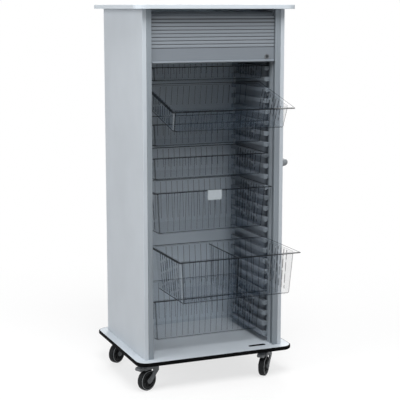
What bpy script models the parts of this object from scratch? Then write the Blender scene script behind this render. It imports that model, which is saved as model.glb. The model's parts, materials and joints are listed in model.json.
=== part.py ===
"""Mobile tray cabinet: a laminate carcass on swivel casters, with moulded runner ladders,
pull-out trays in three depths, a roller shutter and a push handle on one side."""

import math

import bmesh
import bpy

# Everything below is in metres. Cabinet frame: X to the right, Y from the front edge of the
# base plate to the back, Z up from the floor.

GAP = 0.0003  # daylight kept between pieces that touch
FIT = 0.0003  # radial clearance of pins in their holes

# Trays
TRAY_WIDTH = 0.600
TRAY_DEPTH = 0.400
TRAY_WALL = 0.003
FLANGE = 0.003
FLANGE_SIDE = 0.021
FLANGE_END = 0.026
FLANGE_CORNER = 0.010
TRAY_CORNER = 0.030
TRAY_FILLET = 0.012
DRAFT = 0.07  # how much a wall leans in, per metre down
SHALLOW = 0.110
DEEP = 0.203
TOP_TRAY = 0.070
TILT = 14.45  # degrees, the second tray, front down
TILT_REACH = 0.3074  # from that tray's front rim back to the ledge that it tips over

# name, runner level, height, how far it is pulled out
SLIDING_TRAYS = (
    ("tray_1", 21, TOP_TRAY, 0.0),
    ("tray_3", 16, SHALLOW, 0.0),
    ("tray_4", 13, SHALLOW, 0.0),
    ("tray_5", 10, DEEP, 0.040),
    ("tray_6", 5, DEEP, 0.345),
    ("tray_7", 0, DEEP, 0.0),
)
TILTED_LEVEL = 19
DIVIDED_TRAY = "tray_6"
LABELLED_TRAY = "tray_5"
DIVIDER = 0.003
DIVIDER_DROP = 0.006
LABEL_WIDTH = 0.074
LABEL_HEIGHT = 0.048
LABEL_THICKNESS = 0.002
LABEL_HOOK = 0.012

# Carcass, top panel and base plate
BOARD = 0.019
BOARD_EDGE = 0.0012
TOP_THICKNESS = 0.019
TOP_EDGE = 0.0015
BASE_THICKNESS = 0.018
BUMPER = 0.005
BUMPER_ROUND = 0.003
PLATE_CORNER = 0.055
SIDE_OVERHANG = 0.0475  # base plate and top panel beyond the side panels
FRONT_OVERHANG = 0.052
BACK_OVERHANG = 0.050
TRAY_SET_BACK = 0.042  # from the carcass's front to the rim of a tray that is pushed in
BACK_SPACE = 0.097  # from that tray's back to the back panel

# Aluminium posts that guide the shutter
POST_WIDTH = 0.0255
POST_DEPTH = 0.058
POST_EDGE = 0.002
GROOVE_FRONT = 0.0115  # front lip of the post, from its face to the groove
GROOVE_DEPTH = 0.014

# Runner ladders
PITCH = 0.052
LEVEL_ZERO = 0.2625  # rim of a tray on level 0, above the base plate
LOWEST_LEVEL = -4
LEVELS_IN_SECTION = 9
SECTION_NAMES = ("lower", "middle", "upper")
TRAY_PLAY = 0.0077  # from the rim to the face of a ladder, each side
LEDGE_PLAY = 0.0057  # from a ledge to the wall of a tray, each side
RUNNER_SET_BACK = 0.002  # from the posts to the ladders
RUNNER_SPARE = 0.011  # ladder behind a tray that is pushed in
LEDGE_ROOT = 0.014
LEDGE_TIP = 0.020
LEAD_IN = 0.010
LEAD_DROP = 0.003
LEAD_SHORT = 0.009

# Roller shutter
BAR_HEIGHT = 0.067
BAR_THICKNESS = 0.012
BAR_SET_BACK = 0.0015  # from the groove's front wall to the bar
BAR_PLAY = 0.0025  # from the bar to the groove's back wall
LIP_HEIGHT = 0.010
LIP_REACH = 0.008
LIP_END = 0.004  # from the end of the lip to the post
END_PLAY = 0.0015
SLAT_PITCH = 0.016
SLAT_COUNT = 9
SLAT_THICKNESS = 0.0085
SLAT_NECK = 0.003
SLAT_SET_BACK = 0.0025
CURTAIN_CLEAR = 0.0312  # from the flat part of the curtain up to the top panel
LEAD_THICKNESS = 0.0035
LEAD_PLAY = 0.0007
LEAD_RISE = 0.0153  # from the bar up to the lower end of the lead
LEAD_BEND = 0.028
COIL_RADIUS = 0.070
COIL_EDGE = 0.003
COIL_SET_BACK = 0.0305  # from the groove's back wall to the coil
COIL_CLEAR = 0.016  # from the coil up to the top panel
HEADER_CLEAR = 0.0308  # from the ladders up to the coil
COIL_FACETS = 20
COIL_END_PLAY = 0.006
SHAFT_RADIUS = 0.010
BRACKET = 0.007
BRACKET_SIZE = 0.080
BRACKET_CORNER = 0.020
LOCK_INSET = 0.0402  # from the right-hand post to the middle of the lock
LOCK_RISE = 0.0013  # from the lip up to the lock's flange
LOCK_BODY = 0.011
LOCK_RIM = 0.0012  # flange beyond the body
LOCK_FLANGE_THICK = 0.003
LOCK_EDGE = 0.0008
LOCK_LENGTH = 0.023
PLUG_RADIUS = 0.0072
PLUG_SUNK = 0.0005
KEYWAY_WIDTH = 0.0016
KEYWAY_LENGTH = 0.008
KEYWAY_DEPTH = 0.004
CAM_WIDTH = 0.010
CAM_LENGTH = 0.030
CAM_THICKNESS = 0.003
STRIKE_LENGTH = 0.082
STRIKE_WIDTH = 0.014
STRIKE_DEPTH = 0.012
STRIKE_SHIFT = 0.0345  # from the lock to the middle of the strike slot

# Push handle on the right side
HANDLE_HEIGHT = 0.890  # above the base plate
HANDLE_FRONT = 0.078
HANDLE_LENGTH = 0.300
HANDLE_STEM = 0.0054
HANDLE_BEND = 0.024
HANDLE_HALF_THICK = 0.0125
HANDLE_HALF_TALL = 0.0175
HANDLE_FOOT = 0.004
HANDLE_FOOT_LONG = 0.040
HANDLE_FOOT_TALL = 0.050
HANDLE_FOOT_CORNER = 0.016
HANDLE_FOOT_EDGE = 0.001

# Casters
WHEEL_RADIUS = 0.050
WHEEL_WIDTH = 0.030
WHEEL_CLEAR = 0.0081  # from the wheel up to the crown
TYRE_THICKNESS = 0.014
TYRE_CROWN = 0.001
TYRE_SHOULDER = 0.005
TYRE_FOOT = 0.004
HUB_SUNK = 0.002  # hub's side inside the tyre's
HUB_RIM = 0.005
HUB_SLOPE = 0.002
HUB_DISH = 0.006
HUB_BOSS = 0.012
TRAIL = 0.040
CASTER_SIDE_INSET = 0.103  # swivel axis from the edges of the base plate
CASTER_FRONT_INSET = 0.097
CASTER_BACK_INSET = 0.102
CASTER_PLATE = 0.084
CASTER_PLATE_THICK = 0.004
CASTER_PLATE_CORNER = 0.014
PIN_RADIUS = 0.009
CROWN_RADIUS = 0.028
CROWN_HEIGHT = 0.024
CROWN_EDGE = 0.003
CROWN_PLAY = 0.0006
ARM = 0.0055
ARM_PLAY = 0.003  # from the tyre to a fork arm
ARM_NECK = 0.0175  # half the width of a fork arm under the crown
ARM_KNEE = 0.0115  # middle of the arm half-way down, from the swivel axis
ARM_KNEE_HALF = 0.0145
ARM_END = 0.0135
HOOD_BACK = 0.015
HOOD_REACH = 0.036
AXLE_RADIUS = 0.006
AXLE_HEAD = 0.0080
AXLE_HEAD_THICK = 0.003
PEDAL_OUT = 0.062  # pivot from the swivel axis
PEDAL_RISE = 0.013  # pivot above the top of the wheel
PEDAL_PIN = 0.004
PEDAL_HEEL = 0.0064
PEDAL_SOLE = 0.0065
PEDAL_CROWN = 0.0105
PEDAL_TIP = 0.009
PEDAL_REACH = 0.040
PEDAL_EDGE = 0.0025
PEDAL_PLAY = 0.0008
PIN_FACETS = 16
WHEEL_FACETS = 20

# Widths, worked out from the trays outwards
OPENING = TRAY_WIDTH / 2 + TRAY_PLAY
LEDGE_IN = TRAY_WIDTH / 2 - FLANGE_SIDE + LEDGE_PLAY
SIDE_IN = OPENING + POST_WIDTH + GAP
SIDE_OUT = SIDE_IN + BOARD
PLATE_WIDTH = 2 * (SIDE_OUT + SIDE_OVERHANG)

# Depths, from the front edge of the base plate
TRAY_HOME = FRONT_OVERHANG + TRAY_SET_BACK
CARCASS_BACK = TRAY_HOME + TRAY_DEPTH + BACK_SPACE + BOARD
PLATE_DEPTH = CARCASS_BACK + BACK_OVERHANG
GROOVE_Y = FRONT_OVERHANG + GROOVE_FRONT
GROOVE_WIDTH = BAR_SET_BACK + BAR_THICKNESS + BAR_PLAY
RUNNER_FRONT = FRONT_OVERHANG + POST_DEPTH + RUNNER_SET_BACK
RUNNER_BACK = TRAY_HOME + TRAY_DEPTH + RUNNER_SPARE
COIL_Y = GROOVE_Y + GROOVE_WIDTH + COIL_SET_BACK + COIL_RADIUS
FARTHEST_OUT = max(out for _, _, _, out in SLIDING_TRAYS)
CENTRE_Y = (PLATE_DEPTH + TRAY_HOME - FARTHEST_OUT) / 2

# Heights above the floor
CROWN_LOW = 2 * WHEEL_RADIUS + WHEEL_CLEAR
CROWN_TOP = CROWN_LOW + CROWN_HEIGHT
CASTER_HEIGHT = CROWN_TOP + CROWN_PLAY + CASTER_PLATE_THICK + GAP
BASE_TOP = CASTER_HEIGHT + BASE_THICKNESS
LADDER_FOOT = BASE_TOP + LEVEL_ZERO + (LOWEST_LEVEL - 0.5) * PITCH - FLANGE - GAP
LADDER_TOP = LADDER_FOOT + len(SECTION_NAMES) * LEVELS_IN_SECTION * PITCH
COIL_Z = LADDER_TOP + HEADER_CLEAR + COIL_RADIUS
CARCASS_TOP = COIL_Z + COIL_RADIUS + COIL_CLEAR
CURTAIN_TOP = CARCASS_TOP - CURTAIN_CLEAR
CURTAIN_LOW = CURTAIN_TOP - SLAT_COUNT * SLAT_PITCH
BAR_TOP = CURTAIN_LOW - GAP
BAR_LOW = BAR_TOP - BAR_HEIGHT

# Shutter, lock, handle and caster sizes that follow from their neighbours
CURTAIN_HALF = OPENING + GROOVE_DEPTH - END_PLAY
LIP_HALF = OPENING - LIP_END
LOCK_X = OPENING - LOCK_INSET
LOCK_FLANGE = LOCK_BODY + LOCK_RIM
LOCK_Z = BAR_LOW + LIP_HEIGHT + LOCK_RISE + LOCK_FLANGE
HANDLE_X = SIDE_OUT + 2 * GAP + HANDLE_FOOT + HANDLE_STEM + HANDLE_BEND
HUB_RADIUS = WHEEL_RADIUS - TYRE_THICKNESS
ARM_INSIDE = WHEEL_WIDTH / 2 + ARM_PLAY
PEDAL_Z = 2 * WHEEL_RADIUS + PEDAL_RISE
CASTER_X = PLATE_WIDTH / 2 - CASTER_SIDE_INSET
CASTER_FRONT = CASTER_FRONT_INSET
CASTER_BACK = PLATE_DEPTH - CASTER_BACK_INSET

# name, X side, Y, direction in which the wheel trails in degrees, has a brake pedal
CASTERS = (
    ("front_left", -1, CASTER_FRONT, 204.0, True),
    ("front_right", 1, CASTER_FRONT, 227.0, True),
    ("rear_left", -1, CASTER_BACK, 212.0, False),
    ("rear_right", 1, CASTER_BACK, 217.0, False),
)


def clear_scene():
    for item in list(bpy.data.objects):
        bpy.data.objects.remove(item, do_unlink=True)


def finish(name, colour, roughness, metallic=0.0, alpha=1.0):
    """A Principled material from an sRGB hex colour."""
    linear = []
    for start in (0, 2, 4):
        value = int(colour[start:start + 2], 16) / 255
        linear.append(value / 12.92 if value <= 0.04045 else ((value + 0.055) / 1.055) ** 2.4)
    material = bpy.data.materials.new(name)
    material.use_nodes = True
    shader = material.node_tree.nodes["Principled BSDF"]
    shader.inputs["Base Color"].default_value = (*linear, 1.0)
    shader.inputs["Roughness"].default_value = roughness
    shader.inputs["Metallic"].default_value = metallic
    shader.inputs["Alpha"].default_value = alpha
    material.diffuse_color = (*linear, alpha)
    return material


def pivot(name, location, parent=None, rotation=(0.0, 0.0, 0.0)):
    empty = bpy.data.objects.new(name, None)
    empty.location = location
    empty.rotation_euler = rotation
    empty.parent = parent
    bpy.context.scene.collection.objects.link(empty)
    return empty


def skin(name, rings, material, parent, location=(0, 0, 0), closed=False, smooth=30.0):
    """A closed body through rings of points; the ends are capped, or joined if closed."""
    shape = bmesh.new()
    rows = [[shape.verts.new(point) for point in ring] for ring in rings]
    count = len(rows[0])
    pairs = list(zip(rows, rows[1:]))
    if closed:
        pairs.append((rows[-1], rows[0]))
    for low, high in pairs:
        for step in range(count):
            after = (step + 1) % count
            shape.faces.new((low[step], low[after], high[after], high[step]))
    if not closed:
        shape.faces.new(rows[0])
        shape.faces.new(rows[-1])
    bmesh.ops.recalc_face_normals(shape, faces=shape.faces)
    mesh = bpy.data.meshes.new(name)
    shape.to_mesh(mesh)
    shape.free()
    mesh.shade_smooth()
    mesh.set_sharp_from_angle(angle=math.radians(smooth))
    mesh.materials.append(material)
    item = bpy.data.objects.new(name, mesh)
    item.parent = parent
    item.location = location
    bpy.context.scene.collection.objects.link(item)
    return item


def prism(name, outline, axis, start, end, material, parent, location=(0, 0, 0)):
    """An outline in the plane across an axis, extruded along it from start to end."""
    order = {"X": (2, 0, 1), "Y": (0, 2, 1), "Z": (0, 1, 2)}[axis]
    rings = []
    for along in (start, end):
        rings.append([[(*point, along)[place] for place in order] for point in outline])
    return skin(name, rings, material, parent, location)


def board(name, low, high, material, parent, edge=BOARD_EDGE):
    """A rectangular board with softened edges."""
    outline = ((low[0], low[1]), (high[0], low[1]), (high[0], high[1]), (low[0], high[1]))
    item = prism(name, outline, "Z", low[2], high[2], material, parent)
    bevel = item.modifiers.new("soft edges", "BEVEL")
    bevel.width = edge
    bevel.segments = 2
    return item


def circle(radius, along, steps, axis="Z", turn=0.0):
    order = {"X": (2, 0, 1), "Y": (0, 2, 1), "Z": (0, 1, 2)}[axis]
    ring = []
    for step in range(steps):
        angle = math.tau * step / steps + turn
        point = (radius * math.cos(angle), radius * math.sin(angle), along)
        ring.append([point[place] for place in order])
    return ring


def turned(name, profile, steps, axis, material, parent, location=(0, 0, 0), closed=False):
    """A body of revolution from (radius, along) points; closed profiles leave a bore."""
    turn = -math.pi / 2
    rings = [circle(radius, along, steps, axis, turn) for radius, along in profile]
    return skin(name, rings, material, parent, location, closed)


def combine(item, other, operation):
    """Adds or cuts another body with a Boolean and keeps that body as a hidden guide."""
    other.hide_render = True
    other.display_type = "WIRE"
    boolean = item.modifiers.new(operation.lower(), "BOOLEAN")
    boolean.operation = operation
    boolean.solver = "EXACT"
    boolean.object = other


def rounded_rectangle(width, depth, radius, steps):
    """Plan outline centred on the origin, its corners as arcs."""
    outline = []
    for quarter, (right, back) in enumerate(((1, 1), (-1, 1), (-1, -1), (1, -1))):
        centre_x = right * (width / 2 - radius)
        centre_y = back * (depth / 2 - radius)
        for step in range(steps + 1):
            angle = math.pi / 2 * (quarter + step / steps)
            outline.append((centre_x + radius * math.cos(angle), centre_y + radius * math.sin(angle)))
    return outline


def slot_outline(length, width):
    """A slot along X with half-round ends."""
    outline = []
    steps = 5
    for end in (1, -1):
        for step in range(steps + 1):
            angle = math.pi * (step / steps - 0.5)
            x = (length - width + width * math.cos(angle)) / 2
            outline.append((end * x, end * width / 2 * math.sin(angle)))
    return outline


def plate_ring(inset, height):
    """The plan of the base plate and top panel, drawn in by inset, at a height."""
    plan = rounded_rectangle(
        PLATE_WIDTH - 2 * inset, PLATE_DEPTH - 2 * inset, PLATE_CORNER - inset, 6
    )
    return [(x, y + PLATE_DEPTH / 2, height) for x, y in plan]


def level_rim(level):
    """Height of a tray's rim above the floor, on a runner level."""
    return BASE_TOP + LEVEL_ZERO + level * PITCH


def ledge_top(level):
    return level_rim(level) - FLANGE - GAP


def make_base(parent, laminate, rubber):
    inset = BUMPER + GAP
    plate = skin(
        "base_plate",
        [plate_ring(inset, CASTER_HEIGHT), plate_ring(inset, BASE_TOP)],
        laminate,
        parent,
    )
    slot = prism(
        "strike_slot_cutter",
        slot_outline(STRIKE_LENGTH, STRIKE_WIDTH),
        "Z",
        BASE_TOP - STRIKE_DEPTH,
        BASE_TOP + STRIKE_DEPTH,
        laminate,
        parent,
        (LOCK_X - STRIKE_SHIFT, GROOVE_Y + GROOVE_WIDTH / 2, 0),
    )
    combine(plate, slot, "DIFFERENCE")
    low, high = CASTER_HEIGHT, BASE_TOP
    rings = [
        plate_ring(BUMPER, low),
        plate_ring(BUMPER_ROUND, low),
        plate_ring(0, low + BUMPER_ROUND),
        plate_ring(0, high - BUMPER_ROUND),
        plate_ring(BUMPER_ROUND, high),
        plate_ring(BUMPER, high),
    ]
    skin("base_bumper", rings, rubber, parent, closed=True)


def make_carcass(parent, laminate):
    low = CARCASS_TOP + GAP
    high = low + TOP_THICKNESS
    rings = [
        plate_ring(TOP_EDGE, low),
        plate_ring(0, low + TOP_EDGE),
        plate_ring(0, high - TOP_EDGE),
        plate_ring(TOP_EDGE, high),
    ]
    skin("top_panel", rings, laminate, parent)
    low, high = BASE_TOP + GAP, CARCASS_TOP
    board(
        "left_side_panel",
        (-SIDE_OUT, FRONT_OVERHANG, low),
        (-SIDE_IN, CARCASS_BACK, high),
        laminate,
        parent,
    )
    board(
        "right_side_panel",
        (SIDE_IN, FRONT_OVERHANG, low),
        (SIDE_OUT, CARCASS_BACK, high),
        laminate,
        parent,
    )
    board(
        "back_panel",
        (-SIDE_IN + GAP, CARCASS_BACK - BOARD, low),
        (SIDE_IN - GAP, CARCASS_BACK, high),
        laminate,
        parent,
    )


def make_post(name, side, parent, aluminium):
    """A channel: the shutter's ends run in its groove."""
    inner, outer = OPENING, SIDE_IN - GAP
    front, back = FRONT_OVERHANG, FRONT_OVERHANG + POST_DEPTH
    deep = inner + GROOVE_DEPTH
    outline = [
        (inner + POST_EDGE, front),
        (outer - POST_EDGE, front),
        (outer, front + POST_EDGE),
        (outer, back),
        (inner, back),
        (inner, GROOVE_Y + GROOVE_WIDTH),
        (deep, GROOVE_Y + GROOVE_WIDTH),
        (deep, GROOVE_Y),
        (inner, GROOVE_Y),
        (inner, front + POST_EDGE),
    ]
    mirrored = [(side * x, y) for x, y in outline]
    prism(name, mirrored, "Z", BASE_TOP + GAP, CARCASS_TOP, aluminium, parent)


def ladder_outline(first_level, shorter, lower):
    """Ladder section across its length: a panel with one ledge for each level."""
    bottom = ledge_top(first_level) - PITCH / 2
    face, back = OPENING, SIDE_IN - GAP
    outline = [(back, bottom + GAP), (face, bottom + GAP)]
    for level in range(first_level, first_level + LEVELS_IN_SECTION):
        top = ledge_top(level) - lower
        outline += [
            (face, top - LEDGE_ROOT),
            (LEDGE_IN + shorter, top - LEDGE_TIP),
            (LEDGE_IN + shorter, top),
            (face, top),
        ]
    height = bottom + LEVELS_IN_SECTION * PITCH
    outline += [(face, height), (back, height)]
    return outline


def make_runner(name, side, first_level, parent, moulding):
    """A moulded ladder; each ledge slopes down and narrows at its mouth to lead a rim in, and
    is deepest at its tip."""
    rings = []
    for along, shorter, lower in (
        (RUNNER_FRONT, LEAD_SHORT, LEAD_DROP),
        (RUNNER_FRONT + LEAD_IN, 0.0, 0.0),
        (RUNNER_BACK, 0.0, 0.0),
    ):
        outline = ladder_outline(first_level, shorter, lower)
        rings.append([(side * x, along, z) for x, z in outline])
    skin(name, rings, moulding, parent)


def tray_ring(width, depth, radius, height):
    plan = rounded_rectangle(width, depth, radius, 3)
    return [(x, y + TRAY_DEPTH / 2, height) for x, y in plan]


def wall_ring(below, inset, height):
    """Plan of the tray's wall, some way below the rim and drawn in by inset."""
    lean = inset + DRAFT * below
    return tray_ring(
        TRAY_WIDTH - 2 * (FLANGE_SIDE + lean),
        TRAY_DEPTH - 2 * (FLANGE_END + lean),
        TRAY_CORNER - inset,
        height,
    )


def make_tray(name, height, parent, location, clear_plastic):
    """A drawn tray: leaning walls, a rounded bottom edge and a flat rim that rides the ledges."""
    floor = height - TRAY_WALL
    rings = [
        wall_ring(floor, TRAY_WALL + TRAY_FILLET, -floor),
        wall_ring(floor - TRAY_FILLET, TRAY_WALL, TRAY_FILLET - floor),
        wall_ring(0, TRAY_WALL, 0),
        tray_ring(TRAY_WIDTH, TRAY_DEPTH, FLANGE_CORNER, 0),
        tray_ring(TRAY_WIDTH, TRAY_DEPTH, FLANGE_CORNER, -FLANGE),
        wall_ring(FLANGE, 0, -FLANGE),
        wall_ring(height - TRAY_FILLET, 0, TRAY_FILLET - height),
        wall_ring(height, TRAY_FILLET, -height),
    ]
    return skin(name, rings, clear_plastic, parent, location, smooth=50.0)


def make_divider(tray, height, clear_plastic):
    """A loose plate from the front wall to the back wall, standing on the tray's floor."""
    outline = []
    floor = height - TRAY_WALL - GAP
    for below, extra in (
        (DIVIDER_DROP, GAP),
        (floor - TRAY_FILLET, GAP),
        (floor, GAP + TRAY_FILLET),
    ):
        start = FLANGE_END + TRAY_WALL + DRAFT * below + extra
        outline.append((start, -below))
    back = [(TRAY_DEPTH - y, z) for y, z in reversed(outline)]
    prism(
        DIVIDED_TRAY + "_divider",
        outline + back,
        "X",
        -DIVIDER / 2,
        DIVIDER / 2,
        clear_plastic,
        tray,
    )


def make_label(tray, card):
    """A card holder that hooks over the middle of the front rim."""
    front = -GAP - LABEL_THICKNESS
    top = GAP + LABEL_THICKNESS
    outline = [
        (front, top - LABEL_HEIGHT),
        (-GAP, top - LABEL_HEIGHT),
        (-GAP, GAP),
        (LABEL_HOOK, GAP),
        (LABEL_HOOK, top),
        (front, top),
    ]
    prism(
        LABELLED_TRAY + "_label",
        outline,
        "X",
        -LABEL_WIDTH / 2,
        LABEL_WIDTH / 2,
        card,
        tray,
    )


def make_trays(cabinet, clear_plastic, card):
    for name, level, height, out in SLIDING_TRAYS:
        place = (0, TRAY_HOME - out, level_rim(level))
        tray = make_tray(name, height, cabinet, place, clear_plastic)
        if name == DIVIDED_TRAY:
            make_divider(tray, height, clear_plastic)
        if name == LABELLED_TRAY:
            make_label(tray, card)
    mouth = (0, RUNNER_FRONT + LEAD_IN, ledge_top(TILTED_LEVEL))
    tip = pivot("tray_2_pivot", mouth, cabinet, (math.radians(TILT), 0, 0))
    make_tray("tray_2", SHALLOW, tip, (0, -TILT_REACH, FLANGE + GAP), clear_plastic)


def make_curtain(parent, slats):
    """The flat part of the curtain: slats in line, each with a rounded front."""
    front = GROOVE_Y + SLAT_SET_BACK
    neck = front + SLAT_NECK
    back = front + SLAT_THICKNESS
    outline = []
    for slat in range(SLAT_COUNT):
        foot = CURTAIN_LOW + slat * SLAT_PITCH
        outline += [
            (neck, foot),
            (front, foot + SLAT_NECK),
            (front, foot + SLAT_PITCH - SLAT_NECK),
            (neck, foot + SLAT_PITCH - SLAT_NECK / 4),
        ]
    outline += [(back, CURTAIN_TOP), (back, CURTAIN_LOW)]
    prism("shutter_curtain", outline, "X", -CURTAIN_HALF, CURTAIN_HALF, slats, parent)


def make_lead(parent, slats):
    """The part of the curtain that bends back over the coil, behind the flat part."""
    front = GROOVE_Y + SLAT_SET_BACK + SLAT_THICKNESS + LEAD_PLAY
    bend_height = COIL_Z + COIL_RADIUS + GAP + LEAD_THICKNESS - LEAD_BEND
    bend_y = front + LEAD_BEND
    bend_steps = 6
    outer, inner = [], []
    for step in range(bend_steps + 1):
        angle = math.pi / 2 * step / bend_steps
        for radius, line in ((LEAD_BEND, outer), (LEAD_BEND - LEAD_THICKNESS, inner)):
            line.append((bend_y - radius * math.cos(angle), bend_height + radius * math.sin(angle)))
    low = BAR_TOP + LEAD_RISE
    outer.insert(0, (front, low))
    inner.insert(0, (front + LEAD_THICKNESS, low))
    outer.append((COIL_Y, bend_height + LEAD_BEND))
    inner.append((COIL_Y, bend_height + LEAD_BEND - LEAD_THICKNESS))
    outline = outer + inner[::-1]
    half = OPENING - END_PLAY
    prism("shutter_lead", outline, "X", -half, half, slats, parent)


def make_bar(parent, slats):
    """Bottom bar with a finger lip between the posts and a hole for the lock."""
    front = GROOVE_Y + BAR_SET_BACK
    back = front + BAR_THICKNESS
    low = BAR_LOW
    lip = front - LIP_REACH
    body = ((front, low), (back, low), (back, BAR_TOP), (front, BAR_TOP))
    bar = prism("shutter_bar", body, "X", -CURTAIN_HALF, CURTAIN_HALF, slats, parent)
    soft = LIP_HEIGHT / 4
    middle = (front + back) / 2
    ledge = (
        (lip + soft, low),
        (middle, low),
        (middle, low + LIP_HEIGHT + soft),
        (front - soft / 2, low + LIP_HEIGHT),
        (lip + soft, low + LIP_HEIGHT - soft),
        (lip, low + LIP_HEIGHT / 2),
        (lip, low + soft),
    )
    tool = prism("shutter_lip_form", ledge, "X", -LIP_HALF, LIP_HALF, slats, parent)
    combine(bar, tool, "UNION")
    hole = turned(
        "lock_hole_cutter",
        ((LOCK_BODY + FIT, -BAR_THICKNESS), (LOCK_BODY + FIT, 2 * BAR_THICKNESS)),
        WHEEL_FACETS,
        "Y",
        slats,
        parent,
        (LOCK_X, front, LOCK_Z),
    )
    combine(bar, hole, "DIFFERENCE")


def make_lock(parent, metal):
    """Cylinder lock in the bar: a flanged housing and a plug with its keyway and cam."""
    axis = pivot("lock_pivot", (LOCK_X, GROOVE_Y + BAR_SET_BACK, LOCK_Z), parent)
    face = -GAP - LOCK_FLANGE_THICK
    bore = PLUG_RADIUS + FIT
    housing = (
        (bore, face),
        (LOCK_FLANGE - LOCK_EDGE, face),
        (LOCK_FLANGE, face + LOCK_EDGE),
        (LOCK_FLANGE, -GAP),
        (LOCK_BODY, -GAP),
        (LOCK_BODY, LOCK_LENGTH),
        (bore, LOCK_LENGTH),
    )
    turned("lock_housing", housing, WHEEL_FACETS, "Y", metal, axis, closed=True)
    back = LOCK_LENGTH + GAP
    plug_profile = ((PLUG_RADIUS, face + PLUG_SUNK), (PLUG_RADIUS, back + CAM_THICKNESS))
    plug = turned("lock_plug", plug_profile, PIN_FACETS, "Y", metal, axis)
    drop = (CAM_LENGTH - CAM_WIDTH) / 2
    outline = [(z, x - drop) for x, z in slot_outline(CAM_LENGTH, CAM_WIDTH)]
    cam_back = back + CAM_THICKNESS + GAP
    cam = prism("lock_cam_form", outline, "Y", back, cam_back, metal, axis)
    combine(plug, cam, "UNION")
    half_wide, half_long = KEYWAY_WIDTH / 2, KEYWAY_LENGTH / 2
    keyway = (
        (-half_wide, -half_long),
        (half_wide, -half_long),
        (half_wide, half_long),
        (-half_wide, half_long),
    )
    depth = face + PLUG_SUNK + KEYWAY_DEPTH
    cutter = prism("keyway_cutter", keyway, "Y", face - KEYWAY_DEPTH, depth, metal, axis)
    combine(plug, cutter, "DIFFERENCE")


def make_coil(parent, slats, metal):
    """The rolled-up curtain on its shaft, between two brackets on the side panels."""
    centre = (0, COIL_Y, COIL_Z)
    bracket_in = SIDE_IN - GAP - BRACKET
    half = bracket_in - COIL_END_PLAY
    end = SIDE_IN - GAP - BRACKET / 3
    axis = pivot("coil_pivot", centre, parent)
    shoulder = COIL_RADIUS - COIL_EDGE
    profile = (
        (SHAFT_RADIUS, -end),
        (SHAFT_RADIUS, -half),
        (shoulder, -half),
        (COIL_RADIUS, -half + COIL_EDGE),
        (COIL_RADIUS, half - COIL_EDGE),
        (shoulder, half),
        (SHAFT_RADIUS, half),
        (SHAFT_RADIUS, end),
    )
    turned("shutter_coil", profile, COIL_FACETS, "X", slats, axis)
    for name, side in (("left", -1), ("right", 1)):
        outline = rounded_rectangle(BRACKET_SIZE, BRACKET_SIZE, BRACKET_CORNER, 3)
        near, far = sorted((side * bracket_in, side * (SIDE_IN - GAP)))
        bracket = prism(name + "_coil_bracket", outline, "X", near, far, metal, parent, centre)
        radius = SHAFT_RADIUS + FIT
        hole = turned(
            name + "_coil_hole_cutter",
            ((radius, near - BRACKET), (radius, far + BRACKET)),
            COIL_FACETS,
            "X",
            metal,
            parent,
            centre,
        )
        combine(bracket, hole, "DIFFERENCE")


def make_handle(parent, plastic):
    """A bow handle that runs front to back along the right side panel, on two feet."""
    start = SIDE_OUT + 2 * GAP + HANDLE_FOOT
    height = BASE_TOP + HANDLE_HEIGHT
    front, back = HANDLE_FRONT, HANDLE_FRONT + HANDLE_LENGTH
    bend_steps = 4
    path = [(start, front, 0.0)]
    for step in range(bend_steps + 1):
        angle = math.pi / 2 * step / bend_steps
        x = HANDLE_X - HANDLE_BEND * (1 - math.sin(angle))
        y = front + HANDLE_BEND * (1 - math.cos(angle))
        path.append((x, y, angle))
    for x, y, angle in reversed(path[1:]):
        path.append((x, front + back - y, math.pi - angle))
    path.append((start, back, math.pi))
    rings = []
    section_steps = 12
    for x, y, angle in path:
        ring = []
        for step in range(section_steps):
            turn = math.tau * step / section_steps
            side = HANDLE_HALF_THICK * math.cos(turn)
            rise = HANDLE_HALF_TALL * math.sin(turn)
            ring.append((x + side * math.sin(angle), y - side * math.cos(angle), height + rise))
        rings.append(ring)
    skin("handle_bar", rings, plastic, parent, smooth=60.0)
    for name, y in (("front", front), ("rear", back)):
        outline = rounded_rectangle(HANDLE_FOOT_LONG, HANDLE_FOOT_TALL, HANDLE_FOOT_CORNER, 3)
        near = SIDE_OUT + GAP
        foot = prism(
            "handle_foot_" + name,
            outline,
            "X",
            near,
            near + HANDLE_FOOT,
            plastic,
            parent,
            (0, y, height),
        )
        bevel = foot.modifiers.new("soft edges", "BEVEL")
        bevel.width = HANDLE_FOOT_EDGE
        bevel.limit_method = "ANGLE"


def arm_outline(pedal):
    """One side of a fork, seen from the side: it sweeps from the crown down to the axle."""
    top = CROWN_TOP - CROWN_HEIGHT / 2
    shoulder = PEDAL_Z - 2 * PEDAL_PIN
    drop = shoulder - WHEEL_RADIUS
    neck, knee = shoulder - drop / 4, shoulder - drop / 2
    bracket = PEDAL_OUT + 2 * PEDAL_PIN
    outline = [(ARM_NECK, shoulder)]
    outline += [(bracket, shoulder), (bracket, top)] if pedal else [(ARM_NECK, top)]
    outline += [(-ARM_NECK, top), (-ARM_NECK, neck), (ARM_KNEE - ARM_KNEE_HALF, knee)]
    steps = 5
    first, sweep = math.radians(225), math.radians(165)
    for step in range(steps + 1):
        angle = first + sweep * step / steps
        x = TRAIL + ARM_END * math.cos(angle)
        outline.append((x, WHEEL_RADIUS + ARM_END * math.sin(angle)))
    outline += [(ARM_KNEE + ARM_KNEE_HALF, knee), (ARM_NECK, neck)]
    return outline


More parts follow.
